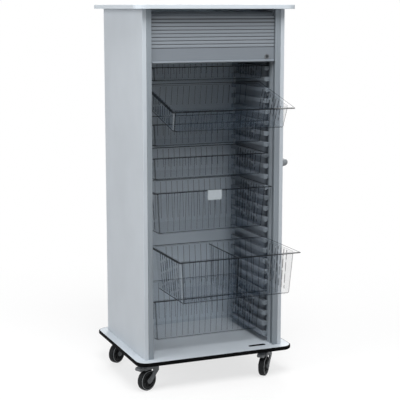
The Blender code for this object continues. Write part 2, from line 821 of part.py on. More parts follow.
def make_fork(name, swivel, pedal, plastic):
    """Crown, hood and two arms as one moulding, bored for the pin and the axle."""
    profile = (
        (CROWN_RADIUS - CROWN_EDGE, CROWN_LOW),
        (CROWN_RADIUS, CROWN_LOW + CROWN_EDGE),
        (CROWN_RADIUS, CROWN_TOP - CROWN_EDGE),
        (CROWN_RADIUS - CROWN_EDGE, CROWN_TOP),
    )
    fork = turned(name + "_fork", profile, PIN_FACETS, "Z", plastic, swivel)
    for side in (-1, 1):
        near, far = sorted((side * ARM_INSIDE, side * (ARM_INSIDE + ARM)))
        arm_name = f"{name}_arm_form_{side}"
        arm = prism(arm_name, arm_outline(pedal), "Y", near, far, plastic, swivel)
        combine(fork, arm, "UNION")
    reach = PEDAL_OUT - 2 * PEDAL_PIN if pedal else HOOD_REACH
    low = CROWN_LOW + CROWN_EDGE / 2
    high = CROWN_TOP - CROWN_HEIGHT / 2 - CROWN_EDGE / 2
    hood = ((-HOOD_BACK, low), (reach, low), (reach, high), (-HOOD_BACK, high))
    half = ARM_INSIDE + ARM / 2
    cover = prism(name + "_hood_form", hood, "Y", -half, half, plastic, swivel)
    combine(fork, cover, "UNION")
    wide = 3 * ARM_INSIDE
    low, high = CROWN_LOW - CROWN_HEIGHT, CROWN_TOP + CROWN_HEIGHT
    holes = [
        ("pin", PIN_RADIUS + FIT, "Z", (0, 0, 0), low, high),
        ("axle", AXLE_RADIUS + FIT, "Y", (TRAIL, 0, WHEEL_RADIUS), -wide, wide),
    ]
    if pedal:
        holes.append(("pedal", PEDAL_PIN + FIT, "Y", (PEDAL_OUT, 0, PEDAL_Z), -wide, wide))
    for kind, radius, axis, place, start, end in holes:
        cutter = turned(
            f"{name}_{kind}_hole_cutter",
            ((radius, start), (radius, end)),
            PIN_FACETS,
            axis,
            plastic,
            swivel,
            place,
        )
        combine(fork, cutter, "DIFFERENCE")


def mirrored_profile(half):
    """A turned profile, completed by its mirror image across the wheel's middle plane."""
    return half + [(radius, -along) for radius, along in reversed(half)]


def make_wheel(name, swivel, tyre_rubber, plastic, metal):
    """Tyre, hub and axle on the wheel's own axis."""
    axis = pivot(name + "_wheel_pivot", (TRAIL, 0, WHEEL_RADIUS), swivel)
    side = -WHEEL_WIDTH / 2
    hub_side = side + HUB_SUNK
    tyre = [
        (HUB_RADIUS + FIT, hub_side),
        (HUB_RADIUS + TYRE_FOOT, side),
        (WHEEL_RADIUS - TYRE_SHOULDER, side),
        (WHEEL_RADIUS - TYRE_CROWN, side / 2),
    ]
    tread = [(WHEEL_RADIUS, 0.0)]
    tyre = tyre + tread + [(radius, -along) for radius, along in reversed(tyre)]
    turned(name + "_tyre", tyre, WHEEL_FACETS, "Y", tyre_rubber, axis, closed=True)
    web = hub_side + HUB_DISH
    rim = HUB_RADIUS - HUB_RIM
    hub = mirrored_profile([
        (AXLE_RADIUS + FIT, hub_side),
        (HUB_BOSS, hub_side),
        (HUB_BOSS + HUB_SLOPE, web),
        (rim - HUB_SLOPE, web),
        (rim, hub_side),
        (HUB_RADIUS, hub_side),
    ])
    turned(name + "_hub", hub, WHEEL_FACETS, "Y", plastic, axis, closed=True)
    shoulder = ARM_INSIDE + ARM + GAP
    end = shoulder + AXLE_HEAD_THICK
    bolt = mirrored_profile([(AXLE_HEAD, -end), (AXLE_HEAD, -shoulder), (AXLE_RADIUS, -shoulder)])
    turned(name + "_axle", bolt, PIN_FACETS, "Y", metal, axis)


def make_pedal(name, swivel, plastic):
    """Brake pedal: a rounded paddle over the wheel, on a pin through the fork's arms."""
    axis = pivot(name + "_pedal_pivot", (PEDAL_OUT, 0, PEDAL_Z), swivel)
    outline = [(-PEDAL_HEEL, -PEDAL_SOLE)]
    steps = 4
    for step in range(steps + 1):
        angle = math.pi * (step / steps - 0.5)
        x = PEDAL_REACH - PEDAL_TIP + PEDAL_TIP * math.cos(angle)
        outline.append((x, PEDAL_TIP * math.sin(angle)))
    outline += [(PEDAL_REACH / 2, PEDAL_CROWN), (-PEDAL_HEEL, PEDAL_SOLE)]
    half = ARM_INSIDE - PEDAL_PLAY
    paddle = prism(name + "_brake_pedal", outline, "Y", -half, half, plastic, axis)
    bevel = paddle.modifiers.new("soft edges", "BEVEL")
    bevel.width = PEDAL_EDGE
    bevel.limit_method = "ANGLE"
    bevel.angle_limit = math.radians(60)
    end = ARM_INSIDE + ARM
    pin_profile = ((PEDAL_PIN, -end), (PEDAL_PIN, end))
    pin = turned(name + "_pedal_pin_form", pin_profile, PIN_FACETS, "Y", plastic, axis)
    combine(paddle, pin, "UNION")


def make_caster(name, side, y, heading, pedal, cabinet, plastic, tyre_rubber, metal):
    place = (side * CASTER_X, y, 0)
    turn = (0, 0, math.radians(heading))
    swivel = pivot(name + "_swivel_pivot", place, cabinet, turn)
    high = CASTER_HEIGHT - GAP
    low = high - CASTER_PLATE_THICK
    plan = rounded_rectangle(CASTER_PLATE, CASTER_PLATE, CASTER_PLATE_CORNER, 3)
    plate = prism(name + "_caster_plate", plan, "Z", low, high, metal, cabinet, place)
    pin_profile = ((PIN_RADIUS, low - CROWN_HEIGHT), (PIN_RADIUS, (low + high) / 2))
    pin = turned(name + "_pin_form", pin_profile, PIN_FACETS, "Z", metal, cabinet, place)
    combine(plate, pin, "UNION")
    make_fork(name, swivel, pedal, plastic)
    make_wheel(name, swivel, tyre_rubber, plastic, metal)
    if pedal:
        make_pedal(name, swivel, plastic)


def main():
    clear_scene()
    laminate = finish("pale grey laminate", "BFC6CD", 0.5)
    aluminium = finish("satin aluminium", "8C949B", 0.4, 0.6)
    slats = finish("shutter slats", "868D95", 0.45)
    moulding = finish("moulded grey plastic", "9AA2A8", 0.5)
    clear_plastic = finish("clear polycarbonate", "D5DDE2", 0.1, 0.0, 0.35)
    card = finish("white card", "E4E6E6", 0.6)
    rubber = finish("black bumper", "151618", 0.6)
    tyre_rubber = finish("tyre rubber", "26282B", 0.7)
    plastic = finish("dark grey nylon", "5A5D60", 0.5)
    metal = finish("zinc-plated steel", "A5A8AB", 0.35, 1.0)

    cabinet = pivot("cabinet", (0, -CENTRE_Y, 0))
    make_base(cabinet, laminate, rubber)
    make_carcass(cabinet, laminate)
    for name, side in (("left", -1), ("right", 1)):
        make_post(name + "_front_post", side, cabinet, aluminium)
        for section, section_name in enumerate(SECTION_NAMES):
            first_level = LOWEST_LEVEL + section * LEVELS_IN_SECTION
            make_runner(f"{name}_runner_{section_name}", side, first_level, cabinet, moulding)
    make_trays(cabinet, clear_plastic, card)
    make_curtain(cabinet, slats)
    make_lead(cabinet, slats)
    make_bar(cabinet, slats)
    make_lock(cabinet, metal)
    make_coil(cabinet, slats, metal)
    make_handle(cabinet, plastic)
    for name, side, y, heading, pedal in CASTERS:
        make_caster(name, side, y, heading, pedal, cabinet, plastic, tyre_rubber, metal)
    bpy.context.view_layer.update()


main()
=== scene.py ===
# %% [markdown]
# # A mobile tray cabinet and its portrait
# The cabinet is a laminate carcass on four casters. Clear trays hang by their rims on moulded
# ladders, and a roller shutter closes the front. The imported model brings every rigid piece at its
# real size, so this lesson only adds what the eye looks for: finishes, the ribs of the trays, the
# rounded slats of the shutter, smooth wheels, a floor, lights and a camera.

import json
import math

import bmesh
import bpy
from mathutils import Matrix, Vector


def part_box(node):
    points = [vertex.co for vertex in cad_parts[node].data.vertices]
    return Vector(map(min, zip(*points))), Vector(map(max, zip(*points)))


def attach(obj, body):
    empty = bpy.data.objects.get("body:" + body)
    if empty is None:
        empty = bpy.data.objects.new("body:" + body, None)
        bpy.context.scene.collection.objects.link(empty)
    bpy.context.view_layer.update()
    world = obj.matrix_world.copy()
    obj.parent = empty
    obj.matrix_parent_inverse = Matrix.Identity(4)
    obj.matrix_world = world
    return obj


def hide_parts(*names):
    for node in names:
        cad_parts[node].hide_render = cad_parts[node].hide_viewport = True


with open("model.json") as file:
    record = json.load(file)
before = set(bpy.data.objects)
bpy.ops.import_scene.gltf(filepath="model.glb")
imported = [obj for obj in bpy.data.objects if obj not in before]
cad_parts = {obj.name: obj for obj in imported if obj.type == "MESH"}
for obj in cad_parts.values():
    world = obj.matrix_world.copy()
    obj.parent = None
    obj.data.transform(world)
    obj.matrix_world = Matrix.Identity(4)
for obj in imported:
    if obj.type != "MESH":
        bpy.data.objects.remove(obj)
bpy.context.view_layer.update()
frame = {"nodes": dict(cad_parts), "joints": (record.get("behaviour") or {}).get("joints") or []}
nodes = frame["nodes"]
joints = {joint["name"]: joint for joint in frame["joints"]}
collection = bpy.context.scene.collection

# %% [markdown]
# ## Colours and nodes
# Shaders work in linear light, while colours are usually written as sRGB hex values. One function
# turns the second into the first. A second one adds a shader node, sets it up and links it, so a
# material reads as a short list of steps.

# %% Colour and node helpers
def linear(hex_colour):
    """The linear colour of an sRGB hex value, with full alpha."""
    channels = [int(hex_colour[start:start + 2], 16) / 255 for start in (0, 2, 4)]
    values = [c / 12.92 if c <= 0.04045 else ((c + 0.055) / 1.055) ** 2.4 for c in channels]
    return (*values, 1.0)


def add_node(tree, kind, inputs, **settings):
    """Adds a node; inputs maps a socket to a value or to the output that feeds it."""
    node = tree.nodes.new(kind)
    for name, value in settings.items():
        setattr(node, name, value)
    for socket, value in inputs.items():
        if isinstance(value, bpy.types.NodeSocket):
            tree.links.new(value, node.inputs[socket])
        else:
            node.inputs[socket].default_value = value
    return node


print("sRGB 808080 is", round(linear("808080")[0], 3), "in linear light")

# %% [markdown]
# ## What every finish shares
# A moulded or laminated surface is never one flat colour. Its tone drifts a little, its gloss is
# uneven, and a fine relief breaks up the highlight. A soft noise steers all three. It reads Object
# coordinates, so a pattern has its real size and moves with its piece. A stretch under 1 draws the
# noise out along that axis, as extrusion and brushing do.

# %% Shared surface recipes
TONE_ENDS = (0.3, 0.7)  # noise seldom goes past these


def start_finish(name, colour, roughness, metallic=0.0):
    """A new material; returns it with its tree, its shader and its Object coordinates."""
    material = bpy.data.materials.new(name)
    material.use_nodes = True
    tree = material.node_tree
    shader = tree.nodes["Principled BSDF"]
    shader.inputs["Base Color"].default_value = linear(colour)
    shader.inputs["Roughness"].default_value = roughness
    shader.inputs["Metallic"].default_value = metallic
    material.diffuse_color = linear(colour)
    place = add_node(tree, "ShaderNodeTexCoord", {}).outputs["Object"]
    return material, tree, shader, place


def per_size(millimetres):
    """Texture scale whose features are about that many millimetres across."""
    return 1000.0 / millimetres


def soft_pattern(tree, place, size, stretch=(1, 1, 1), detail=3.0):
    """Noise with patches about size millimetres across, drawn out by stretch."""
    spread = add_node(tree, "ShaderNodeMapping", {"Vector": place, "Scale": stretch})
    inputs = {"Vector": spread.outputs["Vector"], "Scale": per_size(size), "Detail": detail}
    return add_node(tree, "ShaderNodeTexNoise", inputs).outputs["Fac"]


def show_pattern(tree, shader, pattern, tones=None, gloss=None, height=None):
    """Lets a pattern steer the colour between two tones, the roughness and a relief in mm."""
    if tones:
        ramp = add_node(tree, "ShaderNodeValToRGB", {"Fac": pattern})
        for element, position, tone in zip(ramp.color_ramp.elements, TONE_ENDS, tones):
            element.position = position
            element.color = linear(tone)
        tree.links.new(ramp.outputs["Color"], shader.inputs["Base Color"])
    if gloss:
        inputs = {"Value": pattern, "To Min": gloss[0], "To Max": gloss[1]}
        wander = add_node(tree, "ShaderNodeMapRange", inputs)
        tree.links.new(wander.outputs["Result"], shader.inputs["Roughness"])
    if height:
        inputs = {"Height": pattern, "Distance": height / 1000.0}
        bump = add_node(tree, "ShaderNodeBump", inputs)
        tree.links.new(bump.outputs["Normal"], shader.inputs["Normal"])


print("Recipes: a plain start, and a pattern that shows as tone, gloss and relief")

# %% [markdown]
# ## Laminate
# The boards are chipboard faced with melamine: printed paper under a hard resin, pressed against a
# steel plate with a fine pearl grain. That gives an even pale grey with a soft sheen. The open
# edges carry a glued plastic band, whose joint shows as a hairline. The pearl grain is about 1 mm
# on the real board and is drawn at 3 mm, so that it can show in a render.

# %% Melamine laminate
PEARL_GRAIN = 3.0
PATCH = 220.0
BAND_THICKNESS = 0.002
BAND_JOINT = 0.0004


def melamine_laminate(name, tones, front):
    """Pale laminate, with the hairline of the edge band just behind the front edge."""
    material, tree, shader, place = start_finish(name, tones[1], roughness=0.42)
    show_pattern(tree, shader, soft_pattern(tree, place, PATCH), tones)
    pearl = soft_pattern(tree, place, PEARL_GRAIN)
    depth = add_node(tree, "ShaderNodeSeparateXYZ", {"Vector": place}).outputs["Y"]
    away = {0: depth, 1: front + BAND_THICKNESS, 2: BAND_JOINT}
    joint = add_node(tree, "ShaderNodeMath", away, operation="COMPARE").outputs["Value"]
    sunk = {0: pearl, 1: joint}
    grooved = add_node(tree, "ShaderNodeMath", sunk, operation="SUBTRACT").outputs["Value"]
    show_pattern(tree, shader, grooved, gloss=(0.38, 0.48), height=0.05)
    return material


carcass_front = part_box("left_side_panel")[0].y
plate_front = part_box("top_panel")[0].y
laminate = melamine_laminate("melamine_laminate", ("B8BFC6", "BEC5CC"), carcass_front)
# The back panel, top panel and base plate get lighter, bluer copies of the same laminate: painted
# light.
back_laminate_painted_light = melamine_laminate("melamine_back_painted_light", ("C0CBD5", "C6D1DB"), carcass_front)
plate_laminate_painted_light = melamine_laminate("melamine_plate_painted_light", ("C6CED5", "CCD4DB"), plate_front)
base_laminate_painted_light = melamine_laminate("melamine_base_painted_light", ("C2CAD1", "C8D0D7"), plate_front)
print("Carcass front at", round(carcass_front, 4), "m, plate front at", round(plate_front, 4), "m")

# %% [markdown]
# ## Aluminium and shutter plastic
# The posts are extruded aluminium with a satin anodised skin. The die leaves faint lines along the
# length, so the noise is drawn out along Z. Behind the groove that guides the shutter they are
# painted paler, as painted light. The shutter's slats are extruded plastic, with the same kind of
# lines along X, and less shine because the plastic is not a metal. Their ends are painted darker,
# as painted shade from the grooves. The lines are drawn at 1.5 mm, coarser than a real die leaves
# them, so that they can show.

# %% Tones laid over each other
def lay_over(tree, shader, share, tone):
    """Lays a tone over the colour so far, as far as share says: 0 is not at all, 1 is fully."""
    colour = shader.inputs["Base Color"]
    # Mix has sockets of the same name for several kinds of data, so numbers pick those for colour
    layers = {0: share, 6: colour.links[0].from_socket, 7: linear(tone)}
    blend = add_node(tree, "ShaderNodeMix", layers, data_type="RGBA")
    tree.links.new(blend.outputs[2], colour)


def ramp_along(tree, place, axis, start, end, most=1.0):
    """Goes from 0 at start to most at end along an axis; X counts outwards from the middle."""
    along = add_node(tree, "ShaderNodeSeparateXYZ", {"Vector": place}).outputs[axis]
    if axis == "X":
        along = add_node(tree, "ShaderNodeMath", {0: along}, operation="ABSOLUTE").outputs["Value"]
    reach = {"Value": along, "From Min": start, "From Max": end, "To Max": most}
    return add_node(tree, "ShaderNodeMapRange", reach).outputs["Result"]


print("Helpers: a tone laid over the colour so far, and a ramp that says where")

# %% Extruded finishes
DIE_LINE = 1.5
ALONG_Z = (1, 1, 0.01)
ALONG_X = (0.01, 1, 1)
# tone of painted shade, for the slats' ends and the ladders' pockets
SHADE_TONE = "262B31"
SHADED_END = 0.006
END_SHADE_SHARE = 0.55
GROOVE_BACK = 0.028  # from the post's front to just behind its groove
post_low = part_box("right_front_post")[0]


def anodised_aluminium(name, tones, painted_light_tone):
    """Satin aluminium with faint lines along Z, and painted light, a paler tone, behind the shutter's
    groove.
    """
    material, tree, shader, place = start_finish(name, tones[1], roughness=0.45, metallic=0.15)
    lines = soft_pattern(tree, place, DIE_LINE, ALONG_Z)
    show_pattern(tree, shader, lines, tones, gloss=(0.42, 0.54), height=0.02)
    # Painted light: the post is painted paler behind the shutter's groove.
    depth = add_node(tree, "ShaderNodeSeparateXYZ", {"Vector": place}).outputs["Y"]
    behind = {0: depth, 1: post_low.y + GROOVE_BACK}
    painted_light = add_node(tree, "ShaderNodeMath", behind, operation="GREATER_THAN").outputs["Value"]
    lay_over(tree, shader, painted_light, painted_light_tone)
    return material


def extruded_slat_plastic(name, tones):
    """Matt plastic with faint lines along X, and ends painted darker as painted shade."""
    material, tree, shader, place = start_finish(name, tones[1], roughness=0.45)
    lines = soft_pattern(tree, place, DIE_LINE, ALONG_X)
    show_pattern(tree, shader, lines, tones, gloss=(0.42, 0.54), height=0.03)
    # Painted shade: the ends darken towards the posts' grooves.
    unshaded = post_low.x - SHADED_END
    lay_over(tree, shader, ramp_along(tree, place, "X", unshaded, post_low.x, END_SHADE_SHARE), SHADE_TONE)
    return material


post_aluminium = anodised_aluminium("anodised_aluminium", ("7C848B", "868E95"), "969EA5")
slat_plastic = extruded_slat_plastic("extruded_slat_plastic", ("7C838A", "838A91"))
bar_plastic = extruded_slat_plastic("extruded_bar_plastic", ("70777F", "767D84"))
# Painted shade: the hooks between slats get a dark copy of the slat plastic.
hook_painted_shade = extruded_slat_plastic("extruded_hook_painted_shade", ("34383D", "3D4247"))
print("Extruded finishes: posts, slats, hooks between slats, and bar")

# %% [markdown]
# ## Moulded plastics and rubber
# The casters are glass-filled nylon, dark and dull, and the handle is a paler kind. The tyres are
# soft grey-black rubber, with a raised bead on each side that is painted pale as a highlight. All of
# them come out of steel moulds that were eroded to a fine matt grain, which breaks up the highlight.
# The grain is drawn at 1.6 mm, coarser than the real one, so that it can show.

# %% Moulded plastics and rubber
MOULD_GRAIN = 1.6
GRAIN_RELIEF = 0.06
CLOUD = 60.0


def moulded_plastic(name, tones, gloss, shine=0.5):
    """Clouded plastic or rubber with a fine mould grain."""
    material, tree, shader, place = start_finish(name, tones[1], gloss[1])
    shader.inputs["Specular IOR Level"].default_value = shine
    show_pattern(tree, shader, soft_pattern(tree, place, CLOUD), tones)
    show_pattern(tree, shader, soft_pattern(tree, place, MOULD_GRAIN), gloss=gloss, height=GRAIN_RELIEF)
    return material


nylon = moulded_plastic("glass_filled_nylon", ("5C5F62", "686B6E"), (0.5, 0.66))
hub_nylon = moulded_plastic("black_nylon", ("1A1C1E", "212325"), (0.5, 0.65), shine=0.25)
handle_plastic = moulded_plastic("handle_nylon", ("7E8387", "888D91"), (0.4, 0.52))
tyre_rubber = moulded_plastic("tyre_rubber", ("0D0F11", "141719"), (0.55, 0.75), shine=0.2)
# Painted highlight: the tyres' beads get a pale rubber.
bead_painted_highlight = moulded_plastic("painted_highlight_rubber", ("8E9194", "9EA1A4"), (0.4, 0.55))
print("Moulded: nylon of the casters, hubs and handle, rubber of the tyres and their beads")

# %% [markdown]
# ## Polystyrene of the ladders
# The ladders are moulded from tough polystyrene with the same kind of grain. They are painted darker
# near the front and in the pockets between their ledges, as painted shade. Ramps from the ladder's
# front and from its wall say where each tone goes.

# %% Scuffed polystyrene
FRONT_SHADE_REACH = 0.05
FRONT_SHADE_UNEVENNESS = 0.4
POCKET_REACH = 0.0045  # how far a pocket's dark tone reaches out from the ladder's wall
POCKET_FULL = 0.0005  # that near to the wall it has its full share
POCKET_SHARE = 0.8
POCKET_ENDS = ((0.007, 0.013), (0.055, 0.025))  # from none to full, behind the ladder's front


def shaded_polystyrene(name, tones, gloss, shine, front):
    """Matt plastic, painted darker at the front and in the pockets between the ledges, as painted
    shade.
    """
    material, tree, shader, place = start_finish(name, tones[1], gloss[1])
    shader.inputs["Specular IOR Level"].default_value = shine
    # Painted shade, darker towards the ladder's front.
    unshaded = ramp_along(tree, place, "Y", front, front + FRONT_SHADE_REACH)
    uneven = {0: soft_pattern(tree, place, CLOUD), 1: FRONT_SHADE_UNEVENNESS, 2: unshaded}
    front_shade = add_node(tree, "ShaderNodeMath", uneven, operation="MULTIPLY_ADD").outputs["Value"]
    show_pattern(tree, shader, front_shade, tones)
    # Painted shade in the pockets between the ledges.
    edge = post_low.x - POCKET_REACH
    deep = post_low.x - POCKET_FULL
    pocket = ramp_along(tree, place, "X", edge, deep, POCKET_SHARE)
    for start, end in POCKET_ENDS:
        within = {0: pocket, 1: ramp_along(tree, place, "Y", front + start, front + end)}
        pocket = add_node(tree, "ShaderNodeMath", within, operation="MULTIPLY").outputs["Value"]
    lay_over(tree, shader, pocket, SHADE_TONE)
    show_pattern(tree, shader, soft_pattern(tree, place, MOULD_GRAIN), gloss=gloss, height=GRAIN_RELIEF)
    return material


runner_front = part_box("left_runner_lower")[0].y
runner_tones = ("747C83", "848C95")
runner_plastic = shaded_polystyrene(
    "moulded_polystyrene", runner_tones, (0.5, 0.66), shine=0.12, front=runner_front
)
print("The ladders start at", round(runner_front, 4), "m")

# %% [markdown]
# ## Vinyl of the buffer strip
# The buffer strip round the base is black PVC pulled over the plate's edge, with ridges along its
# length. They are 4.5 mm apart and half a millimetre deep, so a Wave texture is enough for them.

# %% Ridged vinyl
STRIP_RIDGE = 0.0045
RIDGE_RELIEF = 0.5
WAVE_PERIOD = math.tau / 20  # a Wave texture at scale 1 repeats after this distance


def ridged_strip(name, tones, shine):
    """Dull soft plastic with ridges along its length."""
    material, tree, shader, place = start_finish(name, tones[1], roughness=0.8)
    shader.inputs["Specular IOR Level"].default_value = shine
    show_pattern(tree, shader, soft_pattern(tree, place, CLOUD), tones)
    inputs = {"Vector": place, "Scale": WAVE_PERIOD / STRIP_RIDGE}
    ridges = add_node(tree, "ShaderNodeTexWave", inputs, bands_direction="Z").outputs["Fac"]
    show_pattern(tree, shader, ridges, height=RIDGE_RELIEF)
    return material


bumper_vinyl = ridged_strip("ridged_black_vinyl", ("050506", "090A0B"), shine=0.05)
print("Ridges of the buffer strip every", STRIP_RIDGE, "m")

# %% [markdown]
# ## Plated steel
# Plates, bolts and brackets are zinc-plated steel, and the lock is plated with nickel. Such a coat is
# bright but uneven, because it grows in small crystals. They are drawn at 7 mm, far coarser than the
# real ones, so that they can show.

# %% Plated steel
SPANGLE = 7.0


def plated_steel(name, tones):
    """Bright metal whose tone and gloss change from crystal to crystal."""
    material, tree, shader, place = start_finish(name, tones[1], roughness=0.32, metallic=1.0)
    inputs = {"Vector": place, "Scale": per_size(SPANGLE)}
    crystals = add_node(tree, "ShaderNodeTexVoronoi", inputs).outputs["Color"]
    show_pattern(tree, shader, crystals, tones, gloss=(0.26, 0.4))
    return material


zinc_steel = plated_steel("zinc_plated_steel", ("9A9DA0", "ABAEB1"))
black_steel = plated_steel("black_nickel", ("3A3D40", "46494C"))
housing_steel = plated_steel("worn_nickel", ("66696C", "737679"))
print("Steel finishes:", zinc_steel.name, black_steel.name, housing_steel.name)

# %% [markdown]
# ## Clear polycarbonate
# The trays are moulded from clear plastic. A thin wall lets most light straight through and dims it
# a little, so it is made with alpha: a refracting solid would need far more light paths and would
# block the light that reaches the trays behind. What the eye reads as a clear tray is its dark
# outlines, where light is trapped and lost along edges, and a few bright glints. These are painted:
# wall and floor are the plain plastic, while the dark shade, the glint and the outline shade are
# painted shade, painted highlight and painted dark outline. All five are finishes of the same
# plastic, each with its own alpha for one pass through a face. The two dark ones hardly shine, or
# the white surroundings would wash them out.

# %% Clear polycarbonate
POLYCARBONATE_IOR = 1.585
FLOW_LINE = 40.0
FLOW_STRETCH = (1, 1, 0.3)
FLOW_DETAIL = 2.0
FLOW_RELIEF = 0.3
GLOSS_SPREAD = 0.1


def clear_polycarbonate(name, tones, alpha, roughness, shine):
    """Clear plastic whose slow flow lines bend its reflections a little."""
    material, tree, shader, place = start_finish(name, tones[1], roughness)
    shader.inputs["Alpha"].default_value = alpha
    shader.inputs["IOR"].default_value = POLYCARBONATE_IOR
    shader.inputs["Specular IOR Level"].default_value = shine
    flow = soft_pattern(tree, place, FLOW_LINE, FLOW_STRETCH, FLOW_DETAIL)
    gloss = (roughness, roughness + GLOSS_SPREAD)
    show_pattern(tree, shader, flow, tones, gloss, FLOW_RELIEF)
    return material


# the numbers are alpha, roughness and shine
# the second, third and fourth are painted shade, painted highlight and painted dark outline
tray_finishes = (
    clear_polycarbonate("clear_polycarbonate_wall", ("34465A", "44566A"), 0.045, 0.12, 0.5),
    clear_polycarbonate("clear_polycarbonate_dark_shade", ("0C1218", "141A20"), 0.55, 0.3, 0.05),
    clear_polycarbonate("clear_polycarbonate_glint", ("D4DEE6", "E2EAF0"), 0.2, 0.1, 0.5),
    clear_polycarbonate("clear_polycarbonate_outline_shade", ("06090C", "0E1216"), 0.92, 0.3, 0.05),
    clear_polycarbonate("clear_polycarbonate_floor", ("2E3C4A", "3A4856"), 0.09, 0.3, 0.2),
)
WALL, DARK_SHADE, GLINT, OUTLINE_SHADE, FLOOR = range(5)
print("Finishes of the trays:", [finish.name for finish in tray_finishes])

# %% [markdown]
# ## Card
# The fifth tray carries a blank card in a clear pocket. Card is matt and slightly fibrous. Its white is
# painted grey-blue, as painted shade.

# %% Card
FIBRE = 2.5
FIBRE_STRETCH = (0.2, 1, 1)


def shaded_white_card(name, tones):
    """Matt card with short fibres along X."""
    material, tree, shader, place = start_finish(name, tones[1], roughness=0.7)
    fibres = soft_pattern(tree, place, FIBRE, FIBRE_STRETCH)
    show_pattern(tree, shader, fibres, tones, height=0.04)
    return material


# Painted shade: the white card gets grey-blue tones.
card_painted_shade = shaded_white_card("shaded_white_card", ("A4ACB2", "B0B8BE"))
print("Card finish:", card_painted_shade.name)

# %% [markdown]
# ## Dressing the CAD nodes
# Pieces whose shape is already right stay as they are and only get their finish. A moulded or bent
# edge is never knife-sharp, so some also get a Bevel modifier. The imported mesh is split along its
# sharp edges, so a Weld closes it first. Neither modifier changes the stored mesh.

# %% Dress the CAD nodes
WELD_DISTANCE = 0.00002
SHARP_ANGLE = 40.0  # degrees; flatter edges stay as they are
CASTERS = ("front_left", "front_right", "rear_left", "rear_right")
BRAKED = CASTERS[:2]


def dress(finish, names, edge=0.0):
    """Gives CAD nodes their finish, and soft edges of that width where it is not zero."""
    for name in names:
        for material_slot in nodes[name].material_slots:
            material_slot.material = finish
        if edge:
            weld = nodes[name].modifiers.new("closed seams", "WELD")
            weld.merge_threshold = WELD_DISTANCE
            bevel = nodes[name].modifiers.new("soft edges", "BEVEL")
            bevel.width = edge
            bevel.segments = 2
            bevel.limit_method = "ANGLE"
            bevel.angle_limit = math.radians(SHARP_ANGLE)
    print(finish.name, "on", ", ".join(names))


runners = [name for name in nodes if "_runner_" in name]
dress(laminate, ("left_side_panel", "right_side_panel"))
dress(back_laminate_painted_light, ("back_panel",))
dress(plate_laminate_painted_light, ("top_panel",))
dress(base_laminate_painted_light, ("base_plate",))
dress(bumper_vinyl, ("base_bumper",))
dress(post_aluminium, ("left_front_post", "right_front_post"), edge=0.0005)
dress(runner_plastic, runners, edge=0.0008)
dress(bar_plastic, ("shutter_bar",), edge=0.0006)
dress(handle_plastic, ("handle_foot_front", "handle_foot_rear"))
dress(housing_steel, ("lock_housing",))
dress(black_steel, ("lock_plug",))
dress(zinc_steel, ("left_coil_bracket", "right_coil_bracket"))
for caster in CASTERS:
    dress(zinc_steel, (caster + "_caster_plate",))
    dress(nylon, (caster + "_fork", caster + "_axle"), edge=0.001)
for caster in BRAKED:
    dress(nylon, (caster + "_brake_pedal",))

# %% [markdown]
# ## Building meshes from rings
# Most pieces here are a skin over a row of rings: a wheel is rings of growing and shrinking radius,
# a tray is rings of its plan at each height. A loft joins ring to ring and caps the ends, so the
# result is always closed. A function may name a finish for each face as it is made.

# %% Loft
CREASE = 35.0  # degrees; steeper edges are shown sharp


def loft(rings, finish_of=None, joined=False, crease=CREASE):
    """A closed mesh through rings of equally many points, capped, or joined end to end."""
    shape = bmesh.new()
    rows = [[shape.verts.new(point) for point in ring] for ring in rings]
    count = len(rows[0])
    pairs = list(zip(rows, rows[1:]))
    if joined:
        pairs.append((rows[-1], rows[0]))
    for row, (first, second) in enumerate(pairs):
        for step in range(count):
            after = (step + 1) % count
            face = shape.faces.new((first[step], first[after], second[after], second[step]))
            if finish_of:
                face.material_index = finish_of(row, step)
    if not joined:
        shape.faces.new(rows[0])
        shape.faces.new(rows[-1])
    bmesh.ops.recalc_face_normals(shape, faces=shape.faces)
    mesh = bpy.data.meshes.new("shell")
    shape.to_mesh(mesh)
    shape.free()
    mesh.shade_smooth()
    mesh.set_sharp_from_angle(angle=math.radians(crease))
    return mesh


def add_piece(name, mesh, body, finishes, stands_for=()):
    """Shows a mesh as a piece that moves with a CAD body and stands for CAD nodes."""
    mesh.name = name
    for finish in finishes:
        mesh.materials.append(finish)
    piece = bpy.data.objects.new(name, mesh)
    collection.objects.link(piece)
    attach(piece, body)
    if stands_for:
        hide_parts(*stands_for)
    print(name, "has", len(mesh.polygons), "faces and rides on", body)


print("Helpers: a loft through rings, and a mesh shown as a piece")

# %% [markdown]
# ## Trays
# A tray is a moulded box with leaning walls, a rounded foot and a flat rim that lies on the ladders.
# Inside, upright ribs stand about 29 mm apart; a divider fits between them, and they make the trays
# look striped. The ribs are built into the plan of the wall: each straight side carries four points
# for every rib, which lie flat above and below and step inwards along the rib. So wall, ribs and rim
# are one closed skin. Boxes stuck on a wall would leave faces inside the plastic.

# %% Tray plan
WALL_CORNER = 0.016
CORNER_STEPS = 7
RIB_PITCH = 0.0292
RIB_WIDTH = 0.0028
SHORT_WALL_RIB_WIDTH = 0.006
RIB_FLANK = 0.0006
RIBS_ALONG = 16
RIBS_ACROSS = 8


def rib_places(count):
    """Middles of a row of ribs, spread evenly about the middle of the wall."""
    return [(place - (count - 1) / 2) * RIB_PITCH for place in range(count)]


def rib_points(width, rib):
    """Points across a rib: each one's place along the wall and how far it stands out of it."""
    half = width / 2
    return (-half, 0), (RIB_FLANK - half, rib), (half - RIB_FLANK, rib), (half, 0)


